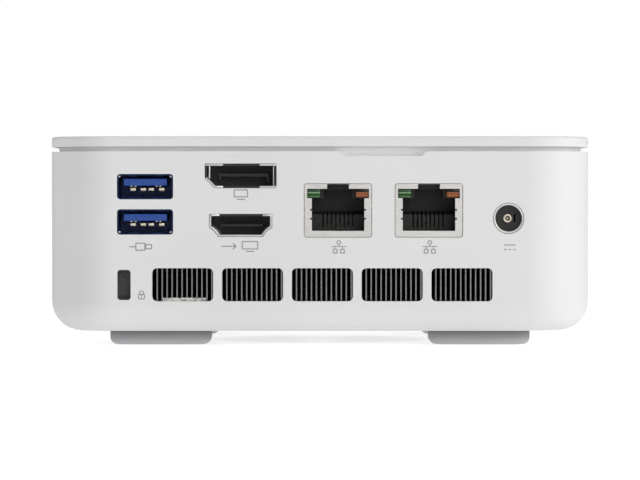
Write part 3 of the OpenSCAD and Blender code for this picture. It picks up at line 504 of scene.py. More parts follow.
def combine(piece, other, operation):
    modify(piece, "BOOLEAN", operation=operation, solver="MANIFOLD", object=other)
    bpy.data.objects.remove(other)


def cut(piece, *cutters):
    for cutter in cutters:
        combine(piece, cutter, "DIFFERENCE")


def fuse(piece, *others):
    for other in others:
        combine(piece, other, "UNION")


def join(*pieces):  # one object of separate closed bodies
    makeActive(pieces[0])
    for piece in pieces:
        piece.select_set(True)
    bpy.ops.object.join()
    return bpy.context.object


def copyPiece(piece, name, move, turned=False):  # turned faces the copy the other way along Y
    makeActive(piece)
    bpy.ops.object.duplicate()
    copy = bpy.context.object
    copy.rotation_euler = (0, 0, math.pi if turned else 0)
    copy.location = at(*move)
    return settle(name)


def roundedBlock(name, low, high, radius, axis, steps=3):  # block with the four edges along one axis rounded
    piece = block(name, low, high)
    bevel(piece, runsAlong(axis), radius, steps)
    return piece


def finishPiece(piece, slot, node=None, edge=0.1, body="case"):
    if edge:
        modify(piece, "BEVEL", width=edge * mm, segments=2, limit_method="ANGLE", angle_limit=math.radians(32),
               use_clamp_overlap=True)
    makeActive(piece)
    bpy.ops.object.shade_smooth_by_angle(angle=math.radians(30))
    modify(piece, "WEIGHTED_NORMAL", keep_sharp=True)
    piece.data.materials.clear()
    piece.data.materials.append(finishes[slot])
    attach(piece, body)
    if node:
        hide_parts(node)
    return piece


# case

caseShape = {  # millimetres
    "wall": 2.0, "corner": 15.0, "bottomRound": 7.0,
    "lidThick": 2.45, "gap": 1.1, "lipSetBack": 1.8, "lipThick": 1.2,
    "coverHalf": 53.0, "coverRound": 12.0, "coverThick": 2.4, "ledgeHalf": 50.5, "ledgeThick": 1.5,
    "portFit": 0.1, "edge": 0.15, "rearShy": 0.03,
    "postX": 56.5, "postY": (-36, 4, 44), "screwX": 49.5, "screwY": 22, "screwTop": 10.4,
    "notchMiddle": 14.7, "notchTop": 10.3, "notchDeep": 1.1,
    "postRadius": 3.2, "screwPostRadius": 3.5, "boreRadius": 1.23,
}
vents = {
    "count": 5, "pitch": 16.43, "width": 14.4, "height": 7.8, "middle": 0.55, "heightUp": 14.54, "round": 1.1,
}
ports = {  # outlines of the sockets, millimetres
    "usb": (13.0, 5.75), "usbRound": 0.6,
    "upperVideo": (16.7, 5.6), "upperVideoCut": 2.26,
    "lowerVideo": (14.7, 5.24), "lowerVideoCut": 2.15,
    "network": (15.85, 12.5), "usbC": (8.94, 3.26), "usbCRound": 1.5,
    "dcRadius": 3.6, "audioRadius": 3.0, "buttonRadius": 5.05, "lock": (3.15, 7.1), "lockRound": 0.7,
}

low, high = inMillimetres(cadBox[0]), inMillimetres(cadBox[1])
sideX, frontY, rearY = high.x, high.y, low.y + caseShape["rearShy"]
innerX, innerFront, innerRear = sideX - caseShape["wall"], high.y - caseShape["wall"], low.y + caseShape["wall"]
footTop = boxOf("body_shell")[0].z
lidBottom = high.z - caseShape["lidThick"]
shellTop = lidBottom - caseShape["gap"]
boardLow = boxOf("main_board")[0].z
coverTop = footTop + caseShape["coverThick"]
portFace = boxOf("rear_usb_shells")[0].y
frontFace = -portFace


def mountAt(name):  # a socket's centre on its panel as (x, z)
    place = inMillimetres(mountPlace[name])
    return place.x, place.z


usbSpots = [mountAt("rear_usb_upper"), mountAt("rear_usb_lower")]
frontUsbSpots = [mountAt("front_usb_left"), mountAt("front_usb_right")]
upperVideo, lowerVideo = mountAt("video_socket_upper"), mountAt("video_socket_lower")
usbCSpot, audioSpot = mountAt("usb_c_socket"), mountAt("audio_socket")
dcSpot, lockSpot = mountAt("dc_inlet"), mountAt("lock_slot")
shieldLow, shieldHigh = boxOf("lan_jack_shields")
networkZ = (shieldLow.z + shieldHigh.z) / 2
networkSpots = [(mountAt("network_socket_left")[0], networkZ), (mountAt("network_socket_right")[0], networkZ)]
buttonSpot = (-46.0, 29.0)


def plug(name, spot, size, radius, y0, y1, steps=3):  # rounded bar along Y at a socket's place
    x, z = spot
    return roundedBlock(name, (x - size[0] / 2, y0, z - size[1] / 2), (x + size[0] / 2, y1, z + size[1] / 2),
                        radius, 1, steps)


def upperVideoBar(name, y0, y1, grow=0.0):  # bar with one lower corner cut off
    x, z = upperVideo
    w, h = ports["upperVideo"][0] / 2 + grow, ports["upperVideo"][1] / 2 + grow
    bar = slab(name, upperVideo, (-w, -h, w, h), y0, y1)
    bevel(bar, both(runsAlong(1), liesAt(0, x - w), liesAt(2, z - h)), ports["upperVideoCut"] + 0.6 * grow, 1)
    bevel(bar, runsAlong(1), 0.3, 2)
    return bar


def lowerVideoBar(name, y0, y1, grow=0.0):  # bar whose lower corners step in with a hollow curve
    z = lowerVideo[1]
    w, h = ports["lowerVideo"][0] / 2 + grow, ports["lowerVideo"][1] / 2 + grow
    bar = slab(name, lowerVideo, (-w, -h, w, h), y0, y1)
    bevel(bar, both(runsAlong(1), liesAt(2, z - h)), ports["lowerVideoCut"], 4, 0.17)
    bevel(bar, both(runsAlong(1), liesAt(2, z + h)), 0.3, 2)
    return bar


def roundedTub(name, lowCorner, highCorner, corner, bottomRound=0.0, steps=14):
    tub = roundedBlock(name, lowCorner, highCorner, corner, 2, steps)
    if bottomRound:
        bevel(tub, liesAt(2, lowCorner[2]), bottomRound, 8)
    return tub


def flatRing(name, half, corner, wall, z0, z1):  # upright wall that runs all round the case
    ring = roundedTub(name, (-half, -half, z0), (half, half, z1), corner)
    cut(ring, roundedTub("ringHole", (wall - half, wall - half, z0 - 1), (half - wall, half - wall, z1 + 1),
                         corner - wall))
    return ring


def portCutters():
    y0, y1, fit = rearY - 1, innerRear + 0.5, caseShape["portFit"]
    def opening(name, spot, port, radius, steps=3):
        return plug(name, spot, [side + 2 * fit for side in ports[port]], radius, y0, y1, steps)
    usbRound = ports["usbRound"] + fit
    cutters = [opening("cutUsb", spot, "usb", usbRound) for spot in usbSpots]
    cutters += [upperVideoBar("cutUpper", y0, y1, fit), lowerVideoBar("cutLower", y0, y1, fit)]
    cutters += [opening("cutNetwork", spot, "network", 0.6) for spot in networkSpots]
    cutters.append(pin("cutDc", dcSpot, y0, y1, ports["dcRadius"] + 0.08))
    cutters.append(plug("cutLock", lockSpot, ports["lock"], ports["lockRound"], y0, y1))
    for i in range(vents["count"]):
        spot = (vents["middle"] + (i - (vents["count"] - 1) / 2) * vents["pitch"], vents["heightUp"])
        cutters.append(plug("cutVent", spot, (vents["width"], vents["height"]), vents["round"], y0, y1))
    y0, y1 = innerFront - 0.5, frontY + 1
    cutters += [opening("cutUsb", spot, "usb", usbRound) for spot in frontUsbSpots]
    cutters.append(opening("cutUsbC", usbCSpot, "usbC", ports["usbCRound"] + fit, 6))
    cutters.append(pin("cutAudio", audioSpot, y0, y1, ports["audioRadius"] + fit))
    cutters.append(pin("cutButton", buttonSpot, y0, y1, ports["buttonRadius"], 64))
    return cutters


def pryNotch():  # shallow trapezium in the top of the rear wall
    middle, top, deep = caseShape["notchMiddle"], caseShape["notchTop"], caseShape["notchDeep"]
    notch = slab("notch", (middle, shellTop), (-top, -deep, top, 0.1), rearY - 1, rearY + 1.77)
    bevel(notch, both(runsAlong(1), liesAt(2, shellTop - deep)), deep, 1)
    return notch


def makeBodyShell():
    wall, corner, bottom = caseShape["wall"], caseShape["corner"], caseShape["bottomRound"]
    ledgeTop = coverTop + caseShape["ledgeThick"]
    ledge, cover, coverRound = caseShape["ledgeHalf"], caseShape["coverHalf"], caseShape["coverRound"]
    shell = roundedTub("bodyShell", (-sideX, rearY, footTop), (sideX, frontY, shellTop), corner, bottom)
    cut(shell,
        roundedTub("room", (-innerX, innerRear, ledgeTop), (innerX, innerFront, shellTop + 1), corner - wall,
                   bottom - wall),
        roundedTub("ledge", (-ledge, -ledge, footTop - 1), (ledge, ledge, ledgeTop + 2), coverRound - 2),
        roundedTub("recess", (-cover, -cover, footTop - 1), (cover, cover, coverTop), coverRound))
    lipHalf = sideX - caseShape["lipSetBack"]
    fuse(shell, flatRing("lip", lipHalf, corner - caseShape["lipSetBack"], caseShape["lipThick"],
                         shellTop - 2.5, lidBottom - 0.05))
    for side in (-1, 1):  # posts under the board, each with a rib to the side wall
        x = side * caseShape["postX"]
        ribX = sorted((x, side * (innerX + 0.5)))
        for y in caseShape["postY"]:
            post = rod("post", (x, y, coverTop + 0.5), (x, y, boardLow), caseShape["postRadius"], 32)
            fuse(post, block("rib", (ribX[0], y - 1, coverTop + 0.6), (ribX[1], y + 1, boardLow - 2)))
            fuse(shell, post)
            cut(shell, rod("bore", (x, y, 14), (x, y, boardLow + 1), caseShape["boreRadius"], 24))
    for x in (-caseShape["screwX"], caseShape["screwX"]):
        for y in (-caseShape["screwY"], caseShape["screwY"]):
            fuse(shell, rod("post", (x, y, coverTop), (x, y, caseShape["screwTop"]),
                            caseShape["screwPostRadius"], 32))
            cut(shell, rod("bore", (x, y, coverTop - 1), (x, y, 11), caseShape["boreRadius"], 24))
    cut(shell, pryNotch(), *portCutters())
    return finishPiece(shell, "case_plastic", "body_shell", caseShape["edge"])


def makeLid():
    corner = caseShape["corner"]
    lid = roundedTub("lidPlate", (-sideX, rearY, lidBottom), (sideX, frontY, high.z), corner)
    bevel(lid, liesAt(2, high.z), 0.7, 5)
    bevel(lid, liesAt(2, lidBottom), 0.2, 2)
    skirtIn = caseShape["lipSetBack"] + caseShape["lipThick"] + 0.25
    skirt = flatRing("skirt", sideX - skirtIn, corner - skirtIn, 1.2, lidBottom - 2.2, lidBottom + 0.3)
    for s in (-32, 0, 32):  # gaps that leave separate clip tabs
        cut(skirt, block("gapAcross", (s - 8, -sideX, lidBottom - 3), (s + 8, sideX, lidBottom - 0.8)),
            block("gapAlong", (-sideX, s - 8, lidBottom - 3), (sideX, s + 8, lidBottom - 0.8)))
    fuse(lid, skirt)
    for x in (-28.5, 28.5):  # the thin middle, with ribs left across it
        for y in (-28.5, 28.5):
            cut(lid, roundedTub("pocket", (x - 27, y - 27, lidBottom - 1), (x + 27, y + 27, lidBottom + 0.9), 6,
                                steps=5))
    return finishPiece(lid, "case_plastic", "lid", 0.12, "lid")


def makeFeet():  # one pressed foot, copied to the other three corners
    size = {"width": 24.2, "depth": 18.0, "corner": 4.5, "edge": 1.7}
    feetHigh = boxOf("rubber_feet")[1]
    w, d = size["width"] / 2, size["depth"] / 2
    x, y = feetHigh.x - w, feetHigh.y - d
    foot = roundedTub("rubberFoot", (-x - w, -y - d, 0), (-x + w, -y + d, footTop), size["corner"],
                      size["edge"], 7)
    moves = [(2 * x * i, 2 * y * j, 0) for i, j in ((1, 0), (0, 1), (1, 1))]
    feet = [foot] + [copyPiece(foot, "rubberFoot", move) for move in moves]
    for number, piece in enumerate(feet):
        piece.name = "rubberFoot" + str(number + 1)
        finishPiece(piece, "foot_rubber", "rubber_feet", 0)


makeBodyShell()
makeLid()
makeFeet()
print("case ready")


# USB sockets

usbLook = {  # millimetres, from the socket's centre and its mouth
    "sheet": 0.3, "deep": 14.0, "tongueHalf": 5.15, "tongueLow": 0.2, "tongueHigh": 1.95,
    "tongueIn": 1.0, "back": 11.0, "backThick": 2.5,
    "contactX": (-2.94, -0.53, 1.36, 3.82), "contactHalf": 0.62, "contactThick": 0.14,
    "padX": (-3.26, -2.3, 2.65, 3.5), "padHalf": 0.24, "cornerIn": 0.42, "cornerRadius": 0.3,
    "springX": (-2.6, 3.3), "springHalf": 0.9,
}


def usbShellAt(spot, name):
    x, z = spot
    shell = plug(name, spot, ports["usb"], ports["usbRound"], portFace, portFace + usbLook["deep"], 4)
    hollow(shell, liesAt(1, portFace), usbLook["sheet"], (0, usbLook["deep"] - usbLook["sheet"], 0))
    floorZ, half = z - ports["usb"][1] / 2 + usbLook["sheet"], usbLook["springHalf"]
    for offset in usbLook["springX"]:  # springs pressed into the room from both long walls
        for side in (-1, 1):
            wall = z + side * (ports["usb"][1] / 2 - usbLook["sheet"])
            spring = block("spring", (x + offset - half, portFace + 1.2, min(wall, wall + side * 0.2)),
                           (x + offset + half, portFace + 6.5, max(wall, wall + side * 0.2)))
            extrude(spring, liesAt(2, wall), (0, 0, -side * 0.25))
            bevel(spring, both(runsAlong(0), liesAt(2, wall - side * 0.25)), 0.24, 3)
            fuse(shell, spring)
        cut(shell, block("notch", (x + offset - half, portFace - 1, floorZ - 0.2),
                         (x + offset + half, portFace + 0.9, floorZ + 0.1)))
    return shell


def usbTongueAt(spot, name):
    x, z = spot
    half, low, high = usbLook["tongueHalf"], z + usbLook["tongueLow"], z + usbLook["tongueHigh"]
    tip, back = portFace + usbLook["tongueIn"], portFace + usbLook["back"]
    tongue = block(name, (x - half, tip, low), (x + half, back + 0.2, high))
    bevel(tongue, liesAt(1, tip), 0.25, 3)
    wallX, wallZ = (side / 2 - usbLook["sheet"] - 0.03 for side in ports["usb"])
    fuse(tongue, slab("backWall", spot, (-wallX, -wallZ, wallX, wallZ), back, back + usbLook["backThick"]))
    for offset in usbLook["contactX"]:  # grooves that the contacts lie in, open below
        cut(tongue, block("groove", (x + offset - 0.65, tip + 0.7, low - 0.1),
                          (x + offset + 0.65, back - 0.1, low + 0.18)))
    return tongue


def usbContactsAt(spot, name):  # springs bent down under the tongue and up again at the mouth
    x, z = spot
    half, thick = usbLook["contactHalf"], usbLook["contactThick"]
    root, top = portFace + usbLook["back"], z + usbLook["tongueLow"]
    strip = block(name, (x - half, root - 2, top - thick), (x + half, root - 0.1, top))
    extrude(strip, liesAt(1, root - 2), (0, -4.6, -1.0), (0, -1.1, -0.2), (0, -0.35, 0.1), (0, -0.12, 0.6))
    strips = [copyPiece(strip, name, (offset, 0, 0)) for offset in usbLook["contactX"]]
    tip, half = portFace + usbLook["tongueIn"], usbLook["padHalf"]
    strips += [slab(name, (x + offset, top), (-half, -0.16, half, -0.02), tip + 0.12, tip + 2.2)
               for offset in usbLook["padX"]]
    bpy.data.objects.remove(strip)
    return join(*strips)


def makeUsbSockets():  # modelled at the lower rear socket, copied up and to the front
    first = usbSpots[1]
    makers = [("Shell", usbShellAt, "usb_steel", "rear_usb_shells", "front_port_shells", 0.08),
              ("Tongue", usbTongueAt, "blue_plastic", "rear_usb_tongues", "front_usb_tongues", 0.06),
              ("Contacts", usbContactsAt, "contact_gold", "rear_usb_contacts", None, 0.03)]
    for kind, make, slot, rearNode, frontNode, edge in makers:
        master = make(first, "usb" + kind)
        rises = {"Upper": usbSpots[0][1] - first[1], "Lower": 0}
        rear = [copyPiece(master, "rearUsb" + kind + place, (0, 0, rise)) for place, rise in rises.items()]
        front = [copyPiece(master, "frontUsb" + kind + place, (spot[0] + first[0], 0, spot[1] - first[1]), True)
                 for place, spot in zip(("Left", "Right"), frontUsbSpots)]
        bpy.data.objects.remove(master)
        for pieces, node in ((rear, rearNode), (front, frontNode)):
            for piece in pieces:
                finishPiece(piece, slot, node, edge)


def makeUsbCornerGlints():  # bright steel bits at the outer corners of the stacked pair, set against the darkened shells as painted glints
    corners = []
    for (x, z), side in zip(usbSpots, (1, -1)):
        for across in (-1, 1):
            spot = (x + across * (ports["usb"][0] / 2 - usbLook["cornerIn"]),
                    z + side * (ports["usb"][1] / 2 - usbLook["cornerIn"]))
            corners.append(pin("corner", spot, portFace + 0.01, portFace + 0.5, usbLook["cornerRadius"], 20))
    corners = join(*corners)
    corners.name = "rearUsbCorners"
    finishPiece(corners, "connector_steel", None, 0.08)


# video sockets

videoLook = {  # millimetres; outlines are x0, z0, x1, z1 from the socket's centre
    "deep": 11.0, "rim": 0.4, "insertDeep": 1.15, "bladeIn": 4.4, "back": 9.0, "backThick": 1.9,
    "upperVideo": {
        "bar": upperVideoBar, "spot": upperVideo,
        "gaps": [(-4.15, -4, 4.5, 4), (7.92, -2.35, 9, 2.35), (-9, -0.45, -7.92, 2.35)],
        "springs": [(-7.5, -0.6, -7.2, 2.3), (7.62, -2.3, 7.8, 2.2)],
        "blade": (-5.3, -0.3, 6.6, 0.66), "legs": [(-5.3, -1.0, -4.7, -0.1), (6.0, -1.6, 6.6, -0.1)],
        "grooves": {"first": (-4.4, -0.5, -3.9, -0.1), "pitch": 1.05},
    },
    "lowerVideo": {
        "bar": lowerVideoBar, "spot": lowerVideo, "gaps": [(-5.0, 1, 5.2, 4)], "springs": [],
        "blade": (-4.95, -0.4, 5.25, 0.4), "legs": [],
        "grooves": {"first": (-4.5, -0.6, -4.0, -0.25), "pitch": 1.0},
    },
}


def makeVideoSocket(name):
    look = videoLook[name]
    spot, bar, rim, bladeTip = look["spot"], look["bar"], videoLook["rim"], portFace + videoLook["bladeIn"]
    back = portFace + videoLook["back"]
    shell = bar(name + "Shell", portFace, portFace + videoLook["deep"])
    hollow(shell, liesAt(1, portFace), rim, (0, videoLook["deep"] - 0.3, 0))
    gap, *others = [slab("gap", spot, outline, portFace - 1, portFace + 1.2) for outline in look["gaps"]]
    fuse(gap, *others)
    insert = bar(name + "Insert", portFace + 0.05, portFace + videoLook["insertDeep"])  # black plastic in the gaps cut in the rim: painted shade, which makes these stretches of the rim dark
    cut(insert, bar("hole", portFace - 1, portFace + 3, -rim))
    cut(shell, copyPiece(gap, "gapCopy", (0, 0, 0)))
    combine(insert, gap, "INTERSECT")
    finishPiece(shell, "connector_steel", "video_port_shells", 0.08)
    if look["springs"]:
        springs = join(*[slab(name + "Springs", spot, outline, portFace + 0.1, portFace + 6)
                         for outline in look["springs"]])
        finishPiece(springs, "connector_steel", None, 0.05)
    base = bar(name + "Tongue", back, back + videoLook["backThick"], -rim - 0.03)
    blade = slab("blade", spot, look["blade"], bladeTip, back + 0.1)
    bevel(blade, liesAt(1, bladeTip), 0.15, 2)
    fuse(base, blade, *[slab("leg", spot, outline, bladeTip + 0.2, back + 0.1) for outline in look["legs"]])
    groove = look["grooves"]
    for i in range(10):  # hollows for the contacts under the blade
        place = (spot[0] + i * groove["pitch"], spot[1])
        cut(base, slab("groove", place, groove["first"], portFace + 4, portFace + 8))
    finishPiece(base, "black_plastic", "video_port_tongues", 0.05)
    finishPiece(insert, "black_plastic", None, 0.04)


# network jacks

networkLook = {  # millimetres, from the jack's centre
    "deep": 21.5, "sheet": 0.25,
    "cavity": (6.15, -4.8, 2.9), "shoulder": (7.25, 2.88, 5.08), "latch": (2.55, 5.0, 6.3),
    "lightIn": 4.2, "lightOut": 7.2, "lightLow": 2.95, "lightHigh": 4.65,
    "contactPitch": 1.0, "grooveHalf": 0.2, "contactCount": 8,
    "nubs": (0.15, -1.95),
}


def networkMouth(x, z, y0, y1):  # the opening of the metal face, as one cutter
    def part(name):
        half, low, high = networkLook[name]
        return slab(name, (x, z), (-half, low, half, high), y0, y1)
    mouth = part("cavity")
    fuse(mouth, part("shoulder"), part("latch"))
    for nub in networkLook["nubs"]:
        fuse(mouth, slab("nub", (x, z), (-6.6, nub - 0.2, 6.6, nub + 0.2), y0, y1))
    return mouth


def networkShield(spot):
    x, z = spot
    w, h, sheet = ports["network"][0] / 2, ports["network"][1] / 2, networkLook["sheet"]
    shield = plug("networkShield", spot, ports["network"], 0.5, portFace, portFace + networkLook["deep"])
    cut(shield, block("room", (x - w + sheet, portFace + sheet, z - h + sheet),
                      (x + w - sheet, portFace + networkLook["deep"] - sheet, z + h - sheet)),
        networkMouth(x, z, portFace - 1, portFace + 1),
        block("latchRun", (x - 2.55, portFace - 1, z + 5), (x + 2.55, portFace + 7, z + h + 1)))
    for side in (-1, 1):  # spring leaf stamped in each side wall
        for low in (-1.8, 1.5):
            cut(shield, slab("leafSlot", (x + side * w, z), (-0.5, low, 0.5, low + 0.3), portFace + 4,
                             portFace + 9))
    return shield


def networkHousing(spot):
    x, z = spot
    face, back = portFace + 0.3, portFace + 21.2
    w, h = ports["network"][0] / 2 - 0.3, ports["network"][1] / 2 - 0.3
    housing = block("networkHousing", (x - w, face, z - h), (x + w, back, z + h))
    mouth = slab("mouth", spot, (-6.15, -4.8, 6.15, 2.9), face - 1, face + 13)
    fuse(mouth, slab("latchRoom", spot, (-3.4, 2.8, 3.4, 5.0), face - 1, face + 13),
         slab("latchTop", spot, (-2.55, 4.9, 2.55, h + 1), face - 1, face + 6))
    cut(housing, mouth)
    for side in (-1, 1):  # rooms for the lights, and the shaded steps beside them
        for near, far, deep, low, high in ((4.15, 7.25, 8, 2.9, 5.1), (2.5, 4.2, 3.5, 2.85, 5.05)):
            inner, outer = sorted((side * near, side * far))
            cut(housing, slab("lightRoom", spot, (inner, low, outer, high), face - 1, face + deep))
    comb = slab("comb", spot, (-6.2, -5.2, 6.2, -0.35), face + 8, face + 13.2)
    bevel(comb, both(liesAt(1, face + 8), liesAt(2, z - 0.35)), 1.2, 3)
    fuse(housing, comb)
    half, pitch = networkLook["grooveHalf"], networkLook["contactPitch"]
    for i in range(networkLook["contactCount"]):
        middle = x + (i - 3.5) * pitch
        cut(housing, block("groove", (middle - half, face + 7, z - 4.6), (middle + half, face + 14, z - 0.1)))
    return housing


def networkLight(spot, side, name):
    inner, outer = sorted((side * networkLook["lightIn"], side * networkLook["lightOut"]))
    low, high = networkLook["lightLow"], networkLook["lightHigh"]
    lens = slab(name, spot, (inner, low, outer, high), portFace + 0.35, portFace + 8.2)
    bevel(lens, liesAt(1, portFace + 0.35), 0.3, 3)
    fuse(lens, slab("hood", spot, (inner, high - 0.2, outer, high + 0.3), portFace + 0.6, portFace + 8.1))
    return lens


def networkContacts(spot):  # eight sprung wires that rise towards the back of the jack
    x, z = spot
    wire = block("wire", (x - 0.15, portFace + 11, z - 4.5), (x + 0.15, portFace + 11.3, z - 4.2))
    extrude(wire, liesAt(1, portFace + 11.3), (0, 1.4, 2.9), (0, 0.6, 0.4))
    pitch = networkLook["contactPitch"]
    wires = [copyPiece(wire, "networkContacts", ((i - 3.5) * pitch, 0, 0))
             for i in range(networkLook["contactCount"])]
    bpy.data.objects.remove(wire)
    return join(*wires)


def makeNetworkJacks():  # modelled at the left jack, copied to the right one
    first, second = networkSpots
    step = (second[0] - first[0], 0, 0)
    parts = [("networkShield", networkShield(first), "connector_steel", "lan_jack_shields", 0.08),
             ("networkHousing", networkHousing(first), "black_plastic", "lan_jack_housings", 0),
             ("greenLens", networkLight(first, -1, "greenLens"), "green_light", "lan_green_lights", 0.04),
             ("amberLens", networkLight(first, 1, "amberLens"), "amber_light", "lan_amber_lights", 0.04),
             ("networkContacts", networkContacts(first), "contact_gold", "lan_contacts", 0.03)]
    for name, piece, slot, node, edge in parts:
        copy = copyPiece(piece, name + "Right", step)
        piece.name = name + "Left"
        for each in (piece, copy):
            finishPiece(each, slot, node, edge)


# power inlet and lock slot

def makeDcInlet():
    x, z = dcSpot
    radius, inner = ports["dcRadius"], 3.1
    sleeve = pin("dcSleeve", dcSpot, portFace, portFace + 10.4, radius, 64)
    cut(sleeve, pin("hole", dcSpot, portFace - 1, portFace + 11, inner, 64))
    bevel(sleeve, liesAt(1, portFace), 0.16, 3)
    finishPiece(sleeve, "connector_steel", "dc_jack_sleeve", 0)
    bodyLow, bodyHigh = boxOf("dc_jack_body")
    body = roundedBlock("dcBody", bodyLow, bodyHigh, 0.8, 1)
    cut(body, pin("hole", dcSpot, bodyLow.y - 1, portFace + 10.4, radius + 0.02, 64))
    fuse(body, pin("plug", dcSpot, portFace + 3.2, portFace + 10.6, radius + 0.1, 64),
         pin("floor", dcSpot, portFace + 2.6, portFace + 3.4, inner - 0.02, 64))
    cut(body, slab("leafSlot", dcSpot, (1.35, -1.0, 1.75, 1.0), portFace + 1.4, portFace + 8))
    finishPiece(body, "black_plastic", "dc_jack_body", 0.06)
    pinSpot = (x - 0.15, z)
    centre = pin("dcPin", pinSpot, portFace + 1.6, portFace + 9, 1.0, 40)
    cut(centre, pin("bore", pinSpot, portFace + 1, portFace + 8.6, 0.55, 32))
    bevel(centre, liesAt(1, portFace + 1.6), 0.14, 3)
    fuse(centre, pin("core", pinSpot, portFace + 2.2, portFace + 8.8, 0.2, 20))
    finishPiece(centre, "contact_gold", "dc_jack_pin", 0)


def makeFinTab():  # tinned flange along the foot of the fins, seen in the first opening
    spot, size, finsFront = (-32.0, 11.0), (10.1, 0.86), boxOf("fin_stack")[0].y
    tab = plug("finTab", spot, size, 0.12, finsFront - 0.02, finsFront + 0.1)
    finishPiece(tab, "tinned_edge", None, 0.02)


makeFinTab()
makeUsbSockets()
makeUsbCornerGlints()
makeVideoSocket("upperVideo")
makeVideoSocket("lowerVideo")
makeNetworkJacks()
makeDcInlet()
print("rear sockets ready")


def makeLockSeat():  # folded steel seat behind the slot, with a flange up to the board; its dark steel also stands as painted shade inside the slot
    z = lockSpot[1]
    seatLow, seatHigh = boxOf("lock_bracket")
    half = ports["lock"][1] / 2 + 0.9
    seat = roundedBlock("lockSeat", (seatLow.x, seatLow.y, z - half), (seatHigh.x, seatHigh.y, z + half),
                        0.8, 1)
    extrude(seat, liesAt(2, z + half), (0, 0, 0.4))
    cut(seat, plug("slot", lockSpot, ports["lock"], ports["lockRound"], seatLow.y - 1, seatLow.y + 2.2))
    fuse(seat, block("flange", (seatLow.x, seatLow.y, z + half - 0.5), (seatHigh.x, seatLow.y + 1, boardLow)))
    finishPiece(seat, "dark_steel", "lock_bracket", 0.1)


# front panel

buttonLook = {"radius": 4.0, "ring": 5.0, "ringGap": 0.2, "dish": 0.35}


def makeUsbC():
    depth, wall = 8.0, 0.3
    shell = plug("usbCShell", usbCSpot, ports["usbC"], ports["usbCRound"], frontFace - depth, frontFace, 8)
    hollow(shell, liesAt(1, frontFace), wall, (0, wall - depth, 0))
    finishPiece(shell, "connector_steel", "front_port_shells", 0.08)
    size = (ports["usbC"][0] - 2 * wall - 0.06, ports["usbC"][1] - 2 * wall - 0.06)
    tongue = plug("usbCTongue", usbCSpot, size, ports["usbCRound"] - wall - 0.03, frontFace - 7.6,
                  frontFace - 6, 6)
    blade = slab("blade", usbCSpot, (-3.3, -0.35, 3.3, 0.35), frontFace - 6.2, frontFace - 0.8)
    bevel(blade, liesAt(1, frontFace - 0.8), 0.2, 3)
    fuse(tongue, blade)
    finishPiece(tongue, "black_plastic", "usb_c_tongue", 0.05)
    pad = slab("usbCContacts", usbCSpot, (-2.9, -0.385, -2.7, 0.385), frontFace - 4.5, frontFace - 1.4)
    pads = [copyPiece(pad, "usbCContacts", (0.5 * i, 0, 0)) for i in range(12)]
    bpy.data.objects.remove(pad)
    finishPiece(join(*pads), "contact_gold", None, 0.02)


def makeAudioJack():
    jackLow, jackHigh = boxOf("audio_jack")
    jack = roundedBlock("audioJack", jackLow, (jackHigh.x, innerFront - 0.1, jackHigh.z), 0.5, 1)
    nose = pin("nose", audioSpot, innerFront - 1, frontY - 0.2, ports["audioRadius"], 56)
    bevel(nose, liesAt(1, frontY - 0.2), 0.3, 3)
    fuse(jack, nose)
    cut(jack, pin("bore", audioSpot, jackHigh.y - 12.8, frontY + 1, 1.8),
        pin("flare", audioSpot, frontY - 0.75, frontY + 0.6, 2.0))
    finishPiece(jack, "black_plastic", "audio_jack", 0.08)
    lining = pin("audioLining", audioSpot, frontY - 4, frontY - 1.0, 1.99)
    cut(lining, pin("bore", audioSpot, frontY - 5, frontY, 1.82))
    finishPiece(lining, "connector_steel", None, 0.04)


def makePowerButton():
    radius, outer = buttonLook["radius"], buttonLook["ring"]
    cap = pin("powerButton", buttonSpot, innerFront, frontY, radius, 72)
    pick(cap, "FACE", liesAt(1, frontY))
    for step in range(5):  # a shallow dish for the fingertip
        bpy.ops.mesh.inset(thickness=0.62 * mm, depth=-buttonLook["dish"] * mm * (0.34 - 0.07 * step))
    bpy.ops.object.mode_set(mode="OBJECT")
    bevel(cap, liesAt(1, frontY), 0.22, 4)
    fuse(cap, pin("skirt", buttonSpot, innerFront - 0.85, innerFront + 0.05, outer - 0.25, 72),
         pin("stem", buttonSpot, innerFront - 4, innerFront - 0.8, 1.5, 32))
    finishPiece(cap, "case_plastic", "power_button", 0, "button")
    ring = pin("buttonRing", buttonSpot, innerFront + 0.1, frontY - 0.1, outer, 72)
    cut(ring, pin("hole", buttonSpot, innerFront - 1, frontY + 1, radius + buttonLook["ringGap"], 72))
    bevel(ring, liesAt(1, frontY - 0.1), 0.18, 3)
    finishPiece(ring, "light_plastic", "button_light_ring", 0)


# prints on the panels

inkLook = {"thick": 0.012, "line": 0.26, "thin": 0.2}


def inkBar(spot, y, x0, z0, x1, z1, width=inkLook["line"]):  # flat bar; points are seen from the spot
    deselectAll()
    dx, dz = x1 - x0, z1 - z0
    middle = (spot[0] + (x0 + x1) / 2, y, spot[1] + (z0 + z1) / 2)
    bpy.ops.mesh.primitive_cube_add(size=1, location=at(*middle), rotation=(0, -math.atan2(dz, dx), 0),
                                    scale=at(math.hypot(dx, dz), inkLook["thick"], width))
    bar = settle("mark")
    bevel(bar, runsAlong(1), width * 0.3, 2)
    return bar


def inkFrame(spot, y, x, z, width, height, line=inkLook["line"], lift=0.0):
    half, middle, y = inkLook["thick"] / 2, (spot[0] + x, spot[1] + z), y - lift
    frameShape = plug("mark", middle, (width, height), 0.22, y - half, y + half)
    cut(frameShape, plug("hole", middle, (width - 2 * line, height - 2 * line), 0.1, y - 1, y + 1))
    return frameShape


def inkRing(spot, y, x, z, radius, line=inkLook["line"]):
    half, middle = inkLook["thick"] / 2, (spot[0] + x, spot[1] + z)
    ring = pin("mark", middle, y - half, y + half, radius, 32)
    cut(ring, pin("hole", middle, y - 1, y + 1, radius - line, 32))
    return ring


